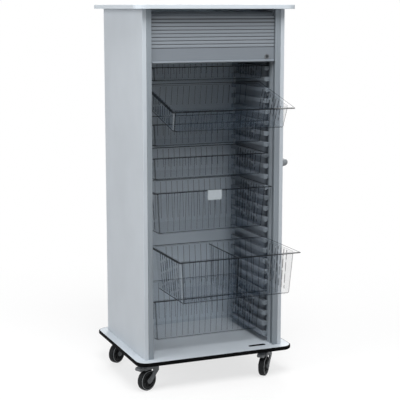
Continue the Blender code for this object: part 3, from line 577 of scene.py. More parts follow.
def tray_plan(width, depth, corner, height, rib=0.0):
    """A ring of the tray at a height; the ribs stand inwards by rib."""
    long_wall = (width / 2, depth / 2, RIBS_ALONG, RIB_WIDTH)
    short_wall = (depth / 2, width / 2, RIBS_ACROSS, SHORT_WALL_RIB_WIDTH)
    ring = []
    for quarter, wall in enumerate((long_wall, short_wall) * 2):
        half_length, distance, rib_count, rib_width = wall
        turn = math.pi / 2 * quarter
        along = Vector((math.cos(turn), math.sin(turn)))
        inward = Vector((-math.sin(turn), math.cos(turn)))
        for place in rib_places(rib_count):
            for shift, rise in rib_points(rib_width, rib):
                ring.append(along * (place + shift) - inward * (distance - rise))
        centre = along * (half_length - corner) - inward * (distance - corner)
        for step in range(CORNER_STEPS + 1):
            swing = math.pi / 2 * step / CORNER_STEPS
            ring.append(centre + corner * (along * math.sin(swing) - inward * math.cos(swing)))
    return [(point.x, point.y, height) for point in ring]


print("Points round a tray:", len(tray_plan(0.55, 0.35, WALL_CORNER, 0)))

# %% [markdown]
# The rings run from the inside floor up the inner wall, over the rim and down the outside. Where a
# ring belongs to the wall, its size follows from how far it lies below the rim, because the walls
# lean. Each ring names the band of faces that follows it. Extra rings divide the ribs by height, so
# that a rib of a short wall can be finished in dashes.

# %% Tray rings
TRAY_WALL = 0.003
WALL_FILLET = 0.012
WALL_LEAN = 0.07  # metres inwards for each metre down
FILLET_STEPS = 4
RIM_SIDE = 0.021
RIM_END = 0.026
RIM_THICKNESS = 0.003
RIM_CORNER = 0.010
RIM_ROUND = 0.001
RIM_LINE = 0.014  # width of the dark line along the rim's edge
RIB_HEIGHT = 0.0014
RIB_FOOT = 0.014
RIB_HEAD = 0.006
RIB_RAMP = 0.003
DASH = 0.011


def tray_rings(width, depth, height):
    """All rings of a tray whose rim's top is at height 0, and the band that follows each ring."""
    rings, bands = [], []

    def wall(below, inset, rib=0.0, band="wall"):
        lean = inset + WALL_LEAN * below
        ring_width = width - 2 * (RIM_SIDE + lean)
        ring_depth = depth - 2 * (RIM_END + lean)
        rings.append(tray_plan(ring_width, ring_depth, WALL_CORNER - inset, -below, rib))
        bands.append(band)

    def rim(inset, below, band):
        rings.append(tray_plan(width - 2 * inset, depth - 2 * inset, RIM_CORNER - inset, -below))
        bands.append(band)

    def fillet(step):
        turn = math.pi / 2 * step / FILLET_STEPS
        return WALL_FILLET * (1 - math.cos(turn)), WALL_FILLET * (1 - math.sin(turn))

    floor = height - TRAY_WALL
    for step in range(FILLET_STEPS + 1):
        rise, reach = fillet(step)
        wall(floor - rise, TRAY_WALL + reach)
    wall(floor - RIB_FOOT, TRAY_WALL, band="rib_end")
    rib_low = floor - RIB_FOOT - RIB_RAMP
    rib_high = RIB_HEAD + RIB_RAMP
    dashes = round((rib_low - rib_high) / DASH)
    for dash in range(dashes):
        wall(rib_low + (rib_high - rib_low) * dash / dashes, TRAY_WALL, RIB_HEIGHT, "rib")
    wall(rib_high, TRAY_WALL, RIB_HEIGHT, "rib_end")
    wall(RIB_HEAD, TRAY_WALL)
    wall(RIM_ROUND, TRAY_WALL, band="edge")
    wall(0, TRAY_WALL - RIM_ROUND)
    rim(RIM_LINE, 0, "line")
    rim(RIM_ROUND, 0, "edge")
    rim(0, RIM_ROUND, "edge")
    rim(0, RIM_THICKNESS - RIM_ROUND, "edge")
    rim(RIM_ROUND, RIM_THICKNESS, "wall")
    wall(RIM_THICKNESS, 0, band="outside")
    for step in range(FILLET_STEPS, -1, -1):
        rise, reach = fillet(step)
        wall(height - rise, reach, band="foot" if step == FILLET_STEPS else "wall")
    return rings, bands


print("Rings of a tray 0.2 m deep:", len(tray_rings(0.6, 0.4, 0.2)[0]))

# %% [markdown]
# Band and side decide the finish of a face. A rib gets a painted highlight on one flank and painted
# shade on the other, and the rounded front corners get painted streaks of highlight and shade. The
# rim's edge is painted almost black as shade, except on the right, where it is painted paler. Each rib
# of a short wall bends what lies behind it, which is painted as a row of dark and bright dashes. The
# right wall is painted a little denser than the rest.

# %% Sides and parts of a tray
FRONT, RIGHT, BACK, LEFT = range(4)
RIB_POINTS = 4


def plan_part(step):
    """The side that a step round the plan lies on, what it is there, and its number in that."""
    for side, count in enumerate((RIBS_ALONG, RIBS_ACROSS) * 2):
        if step < RIB_POINTS * count:
            between = step % RIB_POINTS == RIB_POINTS - 1
            return (side, "wall", 0) if between else (side, "rib", step)
        step -= RIB_POINTS * count
        if step < CORNER_STEPS:
            return side, "corner", step
        step -= CORNER_STEPS + 1
        if step < 0:
            return (side + 1) % 4, "wall", 0


print("Step 2 round the plan is a", plan_part(2)[1], "and step 3 is", plan_part(3)[1])

# %% Tray finishes
# Painted highlight and painted shade for ribs, corners and the rim's bands.
LONG_WALL_RIB = (GLINT, DARK_SHADE, DARK_SHADE)
DARK_DASH = (DARK_SHADE, DARK_SHADE, OUTLINE_SHADE)
BRIGHT_DASH = (GLINT, GLINT, WALL)
CORNER_FACES = {
    FRONT: (WALL, WALL, DARK_SHADE, OUTLINE_SHADE, DARK_SHADE, WALL, WALL),
    LEFT: (WALL, GLINT, GLINT, DARK_SHADE, DARK_SHADE, WALL, WALL),
}
BAND_FINISH = {
    FRONT: {"edge": OUTLINE_SHADE, "line": OUTLINE_SHADE, "foot": DARK_SHADE},
    RIGHT: {"edge": DARK_SHADE, "outside": FLOOR},
    BACK: {"edge": OUTLINE_SHADE},
    LEFT: {"edge": OUTLINE_SHADE, "line": OUTLINE_SHADE, "foot": OUTLINE_SHADE},
}


def rib_finish(side, row, step):
    """Finish of a rib's face: one painted streak on a long wall, uneven painted dashes of shade and
    highlight on a short one.
    """
    rib, face = divmod(step, RIB_POINTS)
    if side in (FRONT, BACK):
        return LONG_WALL_RIB[face]
    bright = (2 * row + 3 * rib) % 5 == 4  # every fifth dash, shifted from rib to rib
    return BRIGHT_DASH[face] if bright else DARK_DASH[face]


def tray_finish(band, row, step):
    """Finish of a face, from its band of the tray and its place in the plan."""
    side, part, number = plan_part(step)
    if part == "rib" and band == "rib":
        return rib_finish(side, row, number)
    if part == "rib" and band == "rib_end":
        return OUTLINE_SHADE
    if part == "corner" and band == "outside" and side in CORNER_FACES:
        return CORNER_FACES[side][number]
    return BAND_FINISH[side].get(band, WALL)


print("A long wall's rib has", ", ".join(tray_finishes[face].name for face in LONG_WALL_RIB))

# %% [markdown]
# A tray's size comes from its CAD node. The second tray is tipped; its rings are made level, and
# then turned by the joint's own angle.

# %% Make the trays
TRAY_COUNT = 7
TIPPED_TRAY = 2
TRAY_CREASE = 30.0


def make_tray(name, turn):
    """The ribbed tray in the place of a CAD tray, which turn brings level."""
    corners = [turn @ vertex.co for vertex in nodes[name].data.vertices]
    low = Vector([min(corner[axis] for corner in corners) for axis in range(3)])
    high = Vector([max(corner[axis] for corner in corners) for axis in range(3)])
    rings, bands = tray_rings(*(high - low))

    def finish_of(row, step):
        return tray_finish(bands[row], row, step)

    mesh = loft(rings, finish_of, crease=TRAY_CREASE)
    for cap in mesh.polygons[-2:]:
        cap.material_index = FLOOR
    middle = (low + high) / 2
    mesh.transform(turn.inverted() @ Matrix.Translation((middle.x, middle.y, high.z)))
    add_piece(name + "_ribbed", mesh, name, tray_finishes, (name,))


tilt = joints["tray_2_tilt"]
tilt_pivot = Vector(tilt["pos_m"])
level = Matrix.Rotation(math.radians(tilt["range_deg"][0]), 4, Vector(tilt["axis"]))
level = Matrix.Translation(tilt_pivot) @ level @ Matrix.Translation(-tilt_pivot)
for number in range(1, TRAY_COUNT + 1):
    make_tray(f"tray_{number}", level if number == TIPPED_TRAY else Matrix.Identity(4))

# %% [markdown]
# ## Divider
# The pulled-out tray has a divider from its front wall to its back wall. It is a thin plate with the
# same upright ribs, a thicker top edge and thicker ends that follow the leaning walls. Its rings run
# upwards: each is a long thin plan, whose ends move outwards with height.

# %% Plan of the divider
divider_low, divider_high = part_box("tray_6_divider")
PLATE_HALF = 0.0009
BEAD_HALF = (divider_high.x - divider_low.x) / 2
DIVIDER_RIBS = 11
END_POST = 0.008


def divider_ring(middle, reach, half, rib, height):
    """Plan of the divider at a height: ribs on both faces, and a thicker post at each end."""
    ring = []
    for side in (1, -1):
        ring += [
            (-side * BEAD_HALF, middle - side * reach, height),
            (side * BEAD_HALF, middle - side * reach, height),
            (side * BEAD_HALF, middle - side * (reach - END_POST), height),
            (side * half, middle - side * (reach - END_POST), height),
        ]
        for place in rib_places(DIVIDER_RIBS):
            for shift, rise in rib_points(RIB_WIDTH, rib):
                ring.append((side * (half + rise), middle + side * (place + shift), height))
        ring.append((side * half, middle + side * (reach - END_POST), height))
        ring.append((side * BEAD_HALF, middle + side * (reach - END_POST), height))
    return ring


print("The divider is", round(2 * BEAD_HALF, 4), "m thick and has", DIVIDER_RIBS, "ribs on each face")

# %% Make the divider
BEAD_HEIGHT = 0.005
POST_POINTS = 4  # points of a post that come before a face's ribs
RIB_ROWS = (2, 3, 4)
BEAD_ROW = 6
DIVIDER_RIB = LONG_WALL_RIB + (WALL,)


def make_divider():
    """Rings from the foot, which is drawn in to clear the tray's rounded floor, up to the bead."""
    middle = (divider_low.y + divider_high.y) / 2
    top, floor = divider_high.z, divider_low.z
    widest = (divider_high.y - divider_low.y) / 2
    rib = BEAD_HALF - PLATE_HALF
    rows = (
        (floor, PLATE_HALF, 0.0),
        (floor + WALL_FILLET, PLATE_HALF, 0.0),
        (floor + RIB_FOOT, PLATE_HALF, 0.0),
        (floor + RIB_FOOT + RIB_RAMP, PLATE_HALF, rib),
        (top - RIB_HEAD - RIB_RAMP, PLATE_HALF, rib),
        (top - RIB_HEAD, PLATE_HALF, 0.0),
        (top - BEAD_HEIGHT, PLATE_HALF, 0.0),
        (top - BEAD_HEIGHT + RIM_ROUND, BEAD_HALF, 0.0),
        (top, BEAD_HALF, 0.0),
    )
    rings = []
    for height, half, rise in rows:
        drawn_in = WALL_FILLET if height == floor else 0.0
        reach = widest - WALL_LEAN * (top - height) - drawn_in
        rings.append(divider_ring(middle, reach, half, rise, height))
    side_points = len(rings[0]) // 2

    # The bead and the front post are painted dark as shade, and the ribs get the trays' painted
    # highlight and shade.
    def finish_of(row, step):
        place = step % side_points
        if row >= BEAD_ROW:
            return DARK_SHADE
        if place < POST_POINTS - 1 or place >= side_points - 2:
            front_post = step < POST_POINTS or step >= 2 * side_points - 2
            return OUTLINE_SHADE if front_post else WALL
        if row in RIB_ROWS and place >= POST_POINTS:
            return DIVIDER_RIB[(place - POST_POINTS) % RIB_POINTS]
        return WALL

    mesh = loft(rings, finish_of, crease=TRAY_CREASE)
    mesh.polygons[-1].material_index = DARK_SHADE
    stands_for = ("tray_6_divider",)
    add_piece("tray_6_divider_ribbed", mesh, "tray_6", tray_finishes, stands_for)


make_divider()

# %% [markdown]
# ## Label pocket
# A clear pocket hooks over the fifth tray's rim and holds a blank card. It is three thin layers: a
# back sheet with the hook, the card, and a window frame whose lips keep the card in. Each layer is an
# outline pulled along X, which is a loft through two rings, and the pocket's layers become one mesh.

# %% Outlines pulled along X
def extruded(outline, start, end, finish_of=None, crease=CREASE):
    """A (y, z) outline pulled along X from start to end."""
    rings = [[(x, y, z) for y, z in outline] for x in (start, end)]
    return loft(rings, finish_of, crease=crease)


def slab(low, high):
    """A box between two opposite corners."""
    outline = ((low[1], low[2]), (high[1], low[2]), (high[1], high[2]), (low[1], high[2]))
    return extruded(outline, low[0], high[0])


def gather(meshes):
    """Several closed shells as one mesh, which keeps their smooth and sharp edges."""
    shape = bmesh.new()
    for mesh in meshes:
        shape.from_mesh(mesh)
        bpy.data.meshes.remove(mesh)
    whole = bpy.data.meshes.new("shells")
    shape.to_mesh(whole)
    shape.free()
    return whole


print("Helpers: an extruded outline, a slab, and shells gathered into one mesh")

# %% Label pocket
label_low, label_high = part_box("tray_5_label")
LABEL_THICKNESS = 0.002
SHEET = 0.0006
LIP = 0.003
CARD_PLAY = 0.0008
CARD_GAP = 0.0001


def make_label():
    """The pocket in the place of the CAD label, and the card in it."""
    left, front, foot = label_low
    right, hook_end, head = label_high
    back = front + LABEL_THICKNESS
    hook = (
        (back - SHEET, foot),
        (back, foot),
        (back, head - SHEET),
        (hook_end, head - SHEET),
        (hook_end, head),
        (back - SHEET, head),
    )
    window = front + SHEET
    shells = [
        extruded(hook, left, right),
        slab((left, front, foot + LIP), (left + LIP, window, head)),
        slab((right - LIP, front, foot + LIP), (right, window, head)),
        slab((left, front, foot), (right, window, foot + LIP)),
    ]
    pocket = gather(shells)
    finish = tray_finishes[WALL]
    add_piece("tray_5_label_pocket", pocket, "tray_5", (finish,), ("tray_5_label",))
    card = slab(
        (left + CARD_PLAY, window + CARD_GAP, foot + CARD_PLAY),
        (right - CARD_PLAY, back - SHEET - CARD_GAP, head - CARD_PLAY),
    )
    add_piece("tray_5_label_card", card, "tray_5", (card_painted_shade,))


make_label()

# %% [markdown]
# ## Shutter
# The curtain is a row of slats hooked together. Each slat has a slightly crowned face and rounded
# edges, and the hooks between them lie in shadow, so the shutter reads as bright bands and dark
# lines. The hooks are also painted darker, as painted shade, and the two uppermost gape, because
# the curtain starts to bend there. One outline in Y and Z, pulled along X, gives the flat part. The
# part that bends back over the coil takes the same slats along a bent path.

# %% Shutter slats
SLAT_COUNT = 9
HOOK_DEPTH = 0.003
SLAT_CROWN = 0.0006
HOOK_HEIGHT = 0.0024
GAPING_HOOK = 0.0046
GAPING_SLATS = 2
SLAT_GAP = 0.0004
SLAT_CREASE = 25.0
SLAT_POINTS = 7
SLAT_STEPS = SLAT_POINTS + 2
HOOK_STEPS = (0, 1, SLAT_STEPS - 1)
# the second finish is painted shade for the hooks
slat_finishes = (slat_plastic, hook_painted_shade)


def slat_profile(pitch, hook=HOOK_HEIGHT):
    """(distance along, depth behind the front) points of one slat, from its hook upwards."""
    points = [(0.0, HOOK_DEPTH), (hook - HOOK_HEIGHT / 2, HOOK_DEPTH)]
    for step in range(SLAT_POINTS):
        share = step / (SLAT_POINTS - 1)
        along = hook + (pitch - hook - SLAT_GAP) * share
        points.append((along, SLAT_CROWN * (2 * share - 1) ** 4))
    return points


def slat_faces(count):
    """Tells a hook's faces, 1, from the rest, 0, on an outline that starts with that many slats."""
    return lambda row, step: int(step < count * SLAT_STEPS and step % SLAT_STEPS in HOOK_STEPS)


def make_curtain():
    """The flat part of the shutter; returns the height of one slat."""
    low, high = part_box("shutter_curtain")
    pitch = (high.z - low.z) / SLAT_COUNT
    outline = []
    for slat in range(SLAT_COUNT):
        hook = GAPING_HOOK if slat >= SLAT_COUNT - GAPING_SLATS else HOOK_HEIGHT
        for along, depth in slat_profile(pitch, hook):
            outline.append((low.y + depth, low.z + slat * pitch + along))
    outline += [(low.y + HOOK_DEPTH, high.z), (high.y, high.z), (high.y, low.z)]
    mesh = extruded(outline, low.x, high.x, slat_faces(SLAT_COUNT), SLAT_CREASE)
    stands_for = ("shutter_curtain",)
    add_piece("shutter_curtain_slats", mesh, "shutter", slat_finishes, stands_for)
    return pitch


slat_pitch = make_curtain()

# %% Shutter where it bends back
LEAD_BEND = 0.028
LEAD_THICKNESS = 0.0035
LEAD_HOOK = 0.002
LEAD_BACK_STEPS = 24


def make_lead(pitch):
    """Slats along a path: up, round a quarter bend and back to the coil."""
    low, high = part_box("shutter_lead")
    rise = high.z - LEAD_BEND - low.z
    arc = math.pi / 2 * LEAD_BEND
    run = high.y - low.y - LEAD_BEND

    def place(along, depth):
        if along < rise:
            return low.y + depth, low.z + along
        if along < rise + arc:
            turn = (along - rise) / LEAD_BEND
            radius = LEAD_BEND - depth
            across, up = radius * math.cos(turn), radius * math.sin(turn)
            return low.y + LEAD_BEND - across, high.z - LEAD_BEND + up
        return low.y + LEAD_BEND + along - rise - arc, high.z - depth

    length = rise + arc + run
    slats = math.ceil(length / pitch)
    outer = []
    for slat in range(slats):
        for along, depth in slat_profile(pitch):
            if slat * pitch + along < length:
                outer.append(place(slat * pitch + along, depth * LEAD_HOOK / HOOK_DEPTH))
    outer.append(place(length, LEAD_HOOK))
    inner = []
    for step in range(LEAD_BACK_STEPS, -1, -1):
        inner.append(place(length * step / LEAD_BACK_STEPS, LEAD_THICKNESS))
    mesh = extruded(outer + inner, low.x, high.x, slat_faces(slats - 1), SLAT_CREASE)
    stands_for = ("shutter_lead",)
    add_piece("shutter_lead_slats", mesh, "cabinet", slat_finishes, stands_for)


make_lead(slat_pitch)

# %% [markdown]
# ## Coil
# Behind the header the curtain rolls up on a steel shaft. The roll is a drum of slats, so its
# outline is a circle with a hook line after every slat. The shaft's two ends are plain turned bars: a
# profile of radius and height, carried round an axis, is a loft through circles.

# %% Turned shapes
def turned(profile, steps, finish_of=None, joined=False):
    """A mesh of revolution round Z from (radius, height) points."""
    turns = [math.tau * step / steps for step in range(steps)]
    rings = []
    for radius, height in profile:
        rings.append([(radius * math.cos(turn), radius * math.sin(turn), height) for turn in turns])
    return loft(rings, finish_of, joined)


print("Helper: a turned shape, as from a lathe")

# %% Coil
COIL_END_PLAY = 0.006
SHAFT_RADIUS = 0.010
SHAFT_STEPS = 24


def make_coil(pitch):
    """The drum of slats, and the ends of the shaft that stand out of it."""
    low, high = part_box("shutter_coil")
    middle = (low + high) / 2
    radius = (high.z - low.z) / 2
    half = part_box("right_coil_bracket")[0].x - COIL_END_PLAY
    slats = round(math.tau * radius / pitch)
    outline = []
    for slat in range(slats):
        for along, depth in slat_profile(pitch):
            turn = math.tau * (slat + along / pitch) / slats
            reach = radius - depth
            outline.append((middle.y + reach * math.cos(turn), middle.z + reach * math.sin(turn)))
    drum = extruded(outline, -half, half, slat_faces(slats), SLAT_CREASE)
    stands_for = ("shutter_coil",)
    add_piece("shutter_coil_drum", drum, "shutter_coil", slat_finishes, stands_for)
    lying = Matrix.Translation((0, middle.y, middle.z)) @ Matrix.Rotation(math.pi / 2, 4, "Y")
    stubs = []
    for start, end in ((low.x, -half), (half, high.x)):
        stub = turned(((SHAFT_RADIUS, start), (SHAFT_RADIUS, end)), SHAFT_STEPS)
        stub.transform(lying)
        stubs.append(stub)
    shaft = gather(stubs)
    add_piece("shutter_coil_shaft", shaft, "shutter_coil", (zinc_steel,))


make_coil(slat_pitch)

# %% [markdown]
# ## Strike
# When the shutter is down, the lock's cam drops into a slot in the base. The slot has a black
# plastic lining with a low collar, which makes it look like a dark slit. It is lofted through rings
# of the slot's outline, a long shape with half-round ends: up the inside, over the collar and down
# the outside.

# %% Strike lining
STRIKE_LENGTH = 0.082
STRIKE_WIDTH = 0.014
STRIKE_DEPTH = 0.011
STRIKE_SHIFT = 0.0345  # from the lock to the middle of the slot
STRIKE_BEHIND = 0.0065  # from the lock's joint back to the middle of the groove
LINING = 0.001
LINING_GAP = 0.0002
COLLAR_WIDTH = 0.003
COLLAR_HEIGHT = 0.002
COLLAR_ROUND = 0.0008
END_STEPS = 8


def slot_ring(inset, height):
    """Outline of the slot, drawn in by inset."""
    radius = STRIKE_WIDTH / 2 - inset
    straight = (STRIKE_LENGTH - STRIKE_WIDTH) / 2
    ring = []
    for side, first in ((1, -math.pi / 2), (-1, math.pi / 2)):
        for step in range(END_STEPS + 1):
            turn = first + math.pi * step / END_STEPS
            ring.append((side * straight + radius * math.cos(turn), radius * math.sin(turn), height))
    return ring


def make_strike():
    """The lining, set in the slot by its distance from the lock."""
    lock = joints["lock_turn"]["pos_m"]
    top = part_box("base_plate")[1].z
    rings = [
        slot_ring(LINING, -STRIKE_DEPTH + LINING),
        slot_ring(LINING, COLLAR_HEIGHT),
        slot_ring(COLLAR_ROUND - COLLAR_WIDTH, COLLAR_HEIGHT),
        slot_ring(-COLLAR_WIDTH, COLLAR_HEIGHT - COLLAR_ROUND),
        slot_ring(-COLLAR_WIDTH, LINING_GAP),
        slot_ring(LINING_GAP, LINING_GAP),
        slot_ring(LINING_GAP, -STRIKE_DEPTH),
    ]
    mesh = loft(rings)
    mesh.transform(Matrix.Translation((lock[0] - STRIKE_SHIFT, lock[1] + STRIKE_BEHIND, top)))
    add_piece("strike_lining", mesh, "cabinet", (bumper_vinyl,))


make_strike()

# %% [markdown]
# ## Push handle
# On the right side a bow handle stands on two feet. Its section is an oval that is tall at the feet
# and slimmer along the grip. Rings of that oval follow the bow, closer together in the two bends,
# which gives a smooth bar with few points.

# %% Push handle
HANDLE_BEND = 0.024
GRIP_HALF_THICK = 0.0125
GRIP_SLIMMING = 0.15  # share of the height lost between foot and grip
BEND_STEPS = 8
OVAL_STEPS = 28
GRIP_CREASE = 50.0


def make_handle():
    """The bow: half of its path is worked out, and the other half mirrors it."""
    low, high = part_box("handle_bar")
    half_tall = (high.z - low.z) / 2
    height = (low.z + high.z) / 2
    outer = high.x - GRIP_HALF_THICK
    front = low.y + GRIP_HALF_THICK
    back = high.y - GRIP_HALF_THICK
    path = [(low.x, front, 0.0)]
    for step in range(BEND_STEPS + 1):
        turn = math.pi / 2 * step / BEND_STEPS
        x = outer - HANDLE_BEND * (1 - math.sin(turn))
        path.append((x, front + HANDLE_BEND * (1 - math.cos(turn)), turn))
    for x, y, turn in reversed(path[:]):
        path.append((x, front + back - y, math.pi - turn))
    rings = []
    for x, y, turn in path:
        tall = half_tall * (1 - GRIP_SLIMMING * (x - low.x) / (outer - low.x))
        ring = []
        for step in range(OVAL_STEPS):
            swing = math.tau * step / OVAL_STEPS
            side = GRIP_HALF_THICK * math.cos(swing)
            rise = tall * math.sin(swing)
            ring.append((x + side * math.sin(turn), y - side * math.cos(turn), height + rise))
        rings.append(ring)
    mesh = loft(rings, crease=GRIP_CREASE)
    add_piece("handle_bar_grip", mesh, "cabinet", (handle_plastic,), ("handle_bar",))


make_handle()

# %% [markdown]
# ## Wheels
# A wheel is a rubber tyre on a dished nylon hub. Tyre and hub are turned shapes, so a profile and a
# round of steps make them. The tyre has rounded shoulders and a raised bead on each side, painted
# pale as a highlight ring. The hub's dish has eight stiffening ribs. The wheel's axis and middle come
# from its joint.

# %% Tyre
TYRE_WIDTH = 0.030
TYRE_SEAT = 0.0003
HUB_RADIUS = 0.036
HUB_SIDE = 0.013
BEAD_INNER = 0.0425
BEAD_OUTER = 0.0448
BEAD_SLOPE = 0.0004
BEAD_ROWS = (2, 3, 4)  # of the faces that follow the section's points
SIDEWALL = 0.0140
SIDEWALL_FLARE = 0.002
SHOULDER = 0.0045
SHOULDER_STEPS = 5
SHOULDER_DROP = 0.0008  # from the wheel's full radius
TREAD_DROP = 0.0002


def both_sides(half):
    """A profile from one side's bore to the other's, mirrored about the middle."""
    return half + [(radius, -height) for radius, height in reversed(half)]


def tyre_profile(radius):
    """Section of a tyre for a wheel of that radius, from seat to seat."""
    half = [
        (HUB_RADIUS + TYRE_SEAT, HUB_SIDE),
        (HUB_RADIUS + SIDEWALL_FLARE, SIDEWALL),
        (BEAD_INNER, SIDEWALL),
        (BEAD_INNER + BEAD_SLOPE, TYRE_WIDTH / 2),
        (BEAD_OUTER - BEAD_SLOPE, TYRE_WIDTH / 2),
        (BEAD_OUTER, SIDEWALL),
    ]
    for step in range(1, SHOULDER_STEPS + 1):
        turn = math.pi / 2 * step / SHOULDER_STEPS
        reach = radius - SHOULDER_DROP - SHOULDER * (1 - math.sin(turn))
        half.append((reach, SIDEWALL - SHOULDER * (1 - math.cos(turn))))
    half.append((radius - TREAD_DROP, SIDEWALL / 3))
    return both_sides(half)


print("Points in the section of a tyre:", len(tyre_profile(0.05)))

# %% Hub
WHEEL_STEPS = 72
HUB_WEB = 0.007
HUB_BORE = 0.0063
HUB_BOSS = 0.012
HUB_RIM = 0.031
HUB_EDGE = 0.001
HUB_SLOPE = 0.002
HUB_RIB_COUNT = 8
HUB_RIB_HALF = 0.0012
HUB_RIB_DROP = 0.0015


def hub_mesh():
    """A dished disc with a bore, and ribs between boss and rim on both sides."""
    profile = both_sides([
        (HUB_BORE, HUB_SIDE),
        (HUB_BOSS - HUB_EDGE, HUB_SIDE),
        (HUB_BOSS, HUB_SIDE - HUB_EDGE),
        (HUB_BOSS + HUB_SLOPE, HUB_WEB),
        (HUB_RIM - HUB_SLOPE, HUB_WEB),
        (HUB_RIM, HUB_SIDE - HUB_EDGE),
        (HUB_RIM + HUB_EDGE, HUB_SIDE),
        (HUB_RADIUS, HUB_SIDE),
    ])
    shells = [turned(profile, WHEEL_STEPS, joined=True)]
    for side in (1, -1):
        low, high = sorted((side * (HUB_WEB - HUB_EDGE), side * (HUB_SIDE - HUB_RIB_DROP)))
        for number in range(HUB_RIB_COUNT):
            rib = slab((HUB_BOSS, -HUB_RIB_HALF, low), (HUB_RIM, HUB_RIB_HALF, high))
            rib.transform(Matrix.Rotation(math.tau * number / HUB_RIB_COUNT, 4, "Z"))
            shells.append(rib)
    return gather(shells)


print("A hub has", HUB_RIB_COUNT, "ribs on each side")

# %% Make the wheels
def joint_matrix(joint):
    """Stands a mesh made round Z at a hinge, with Z along its axis."""
    axis = Vector(joint["axis"])
    turn = Vector((0, 0, 1)).rotation_difference(axis).to_matrix().to_4x4()
    return Matrix.Translation(joint["pos_m"]) @ turn


def make_wheel(caster):
    """Tyre and hub of a caster, in the place of their CAD nodes."""
    joint = joints[caster + "_roll"]
    place = joint_matrix(joint)
    profile = tyre_profile(joint["pos_m"][2])
    far_side = len(profile) - 2  # the row that mirrors row 0

    def tyre_finish(row, step):
        return int(row in BEAD_ROWS or far_side - row in BEAD_ROWS)

    tyre = turned(profile, WHEEL_STEPS, tyre_finish, joined=True)
    tyre.transform(place)
    body = caster + "_wheel"
    # the second rubber is the painted highlight of the beads
    rubbers = (tyre_rubber, bead_painted_highlight)
    add_piece(caster + "_tyre_tread", tyre, body, rubbers, (caster + "_tyre",))
    hub = hub_mesh()
    hub.transform(place)
    add_piece(caster + "_hub_ribbed", hub, body, (hub_nylon,), (caster + "_hub",))


for caster in CASTERS:
    make_wheel(caster)

# %% [markdown]
# ## Bolts and pedal ridges
# Each caster plate is held by four hexagon bolts with washers, seen from below. The brake pedals
# have ridges across their top for a shoe sole. Both are small, but they tell the size of the rest.

# %% Caster bolts
PLATE_THICKNESS = 0.004
BOLT_INSET = 0.011
HEAD_ACROSS = 0.013
HEAD_HEIGHT = 0.0053
HEAD_SIDES = 6
HEAD_BEVEL = (0.0012, 0.0008)  # in from the corner, up from the end
WASHER_RADIUS = 0.008
WASHER_THICKNESS = 0.0014
WASHER_STEPS = 28
SEAT_GAP = 0.0001


def make_bolts(caster):
    """Four bolt heads with washers under a caster's plate."""
    low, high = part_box(caster + "_caster_plate")
    seat = high.z - PLATE_THICKNESS
    corner = HEAD_ACROSS / math.sqrt(3)
    foot = -WASHER_THICKNESS - HEAD_HEIGHT
    washer = ((WASHER_RADIUS, -SEAT_GAP), (WASHER_RADIUS, -WASHER_THICKNESS))
    head = (
        (corner, -WASHER_THICKNESS - SEAT_GAP),
        (corner, foot + HEAD_BEVEL[1]),
        (corner - HEAD_BEVEL[0], foot),
    )
    shells = []
    for x in (low.x + BOLT_INSET, high.x - BOLT_INSET):
        for y in (low.y + BOLT_INSET, high.y - BOLT_INSET):
            for profile, steps in ((washer, WASHER_STEPS), (head, HEAD_SIDES)):
                shell = turned(profile, steps)
                shell.transform(Matrix.Translation((x, y, seat)))
                shells.append(shell)
    add_piece(caster + "_plate_bolts", gather(shells), "cabinet", (zinc_steel,))


for caster in CASTERS:
    make_bolts(caster)

# %% Pedal ridges
RIDGE_PLACES = (0.0215, 0.0245, 0.0275, 0.0305)  # out from the pedal's pin
RIDGE_HALF_LENGTH = 0.011
RIDGE_WIDTH = 0.0014
RIDGE_RISE = 0.0008
RIDGE_SECTION = ((-1, -1), (-0.6, 1), (0.6, 1), (1, -1))  # in half widths and rises
PEDAL_TOP = ((0.020, 0.0105), (0.031, 0.009))  # the pedal's sloping top, out from its pin and up


def make_ridges(caster):
    """Ridges across the sloping top of a brake pedal."""
    joint = joints[caster + "_brake"]
    pin = Vector(joint["pos_m"])
    axis = Vector(joint["axis"])
    outward = axis.cross(Vector((0, 0, 1)))
    (start, start_height), (end, end_height) = PEDAL_TOP
    slope = (end_height - start_height) / (end - start)
    shells = []
    for reach in RIDGE_PLACES:
        rings = []
        for along in (-RIDGE_HALF_LENGTH, RIDGE_HALF_LENGTH):
            ring = []
            for shift, rise in RIDGE_SECTION:
                out = reach + shift * RIDGE_WIDTH / 2
                up = start_height + slope * (out - start) + rise * RIDGE_RISE
                ring.append(pin + outward * out + axis * along + Vector((0, 0, up)))
            rings.append(ring)
        shells.append(loft(rings))
    body = caster + "_pedal"
    add_piece(caster + "_pedal_ridges", gather(shells), body, (nylon,))


for caster in BRAKED:
    make_ridges(caster)

# %% [markdown]
# ## Floor and surroundings
# The cabinet stands on a plain white floor in front of white paper. For camera, glossy and
# transmission rays the world is plain white, so the background is white and metal reflects it. For
# all other rays the world is a weaker, even fill light. The floor is matt white. Towards its edge
# it turns into the white of the background, and near the cabinet it keeps the soft shadows. For
# the light that it throws back up it counts as grey, or it would light the inside from below.

# %% White world
FILL_LIGHT = 0.26


def seen_directly(tree):
    """1 for camera, glossy and transmission rays, 0 for the rest."""
    paths = add_node(tree, "ShaderNodeLightPath", {}).outputs
    mirrored = {0: paths["Is Glossy Ray"], 1: paths["Is Transmission Ray"]}
    other = add_node(tree, "ShaderNodeMath", mirrored, operation="MAXIMUM").outputs["Value"]
    either = {0: paths["Is Camera Ray"], 1: other}
    return add_node(tree, "ShaderNodeMath", either, operation="MAXIMUM").outputs["Value"]


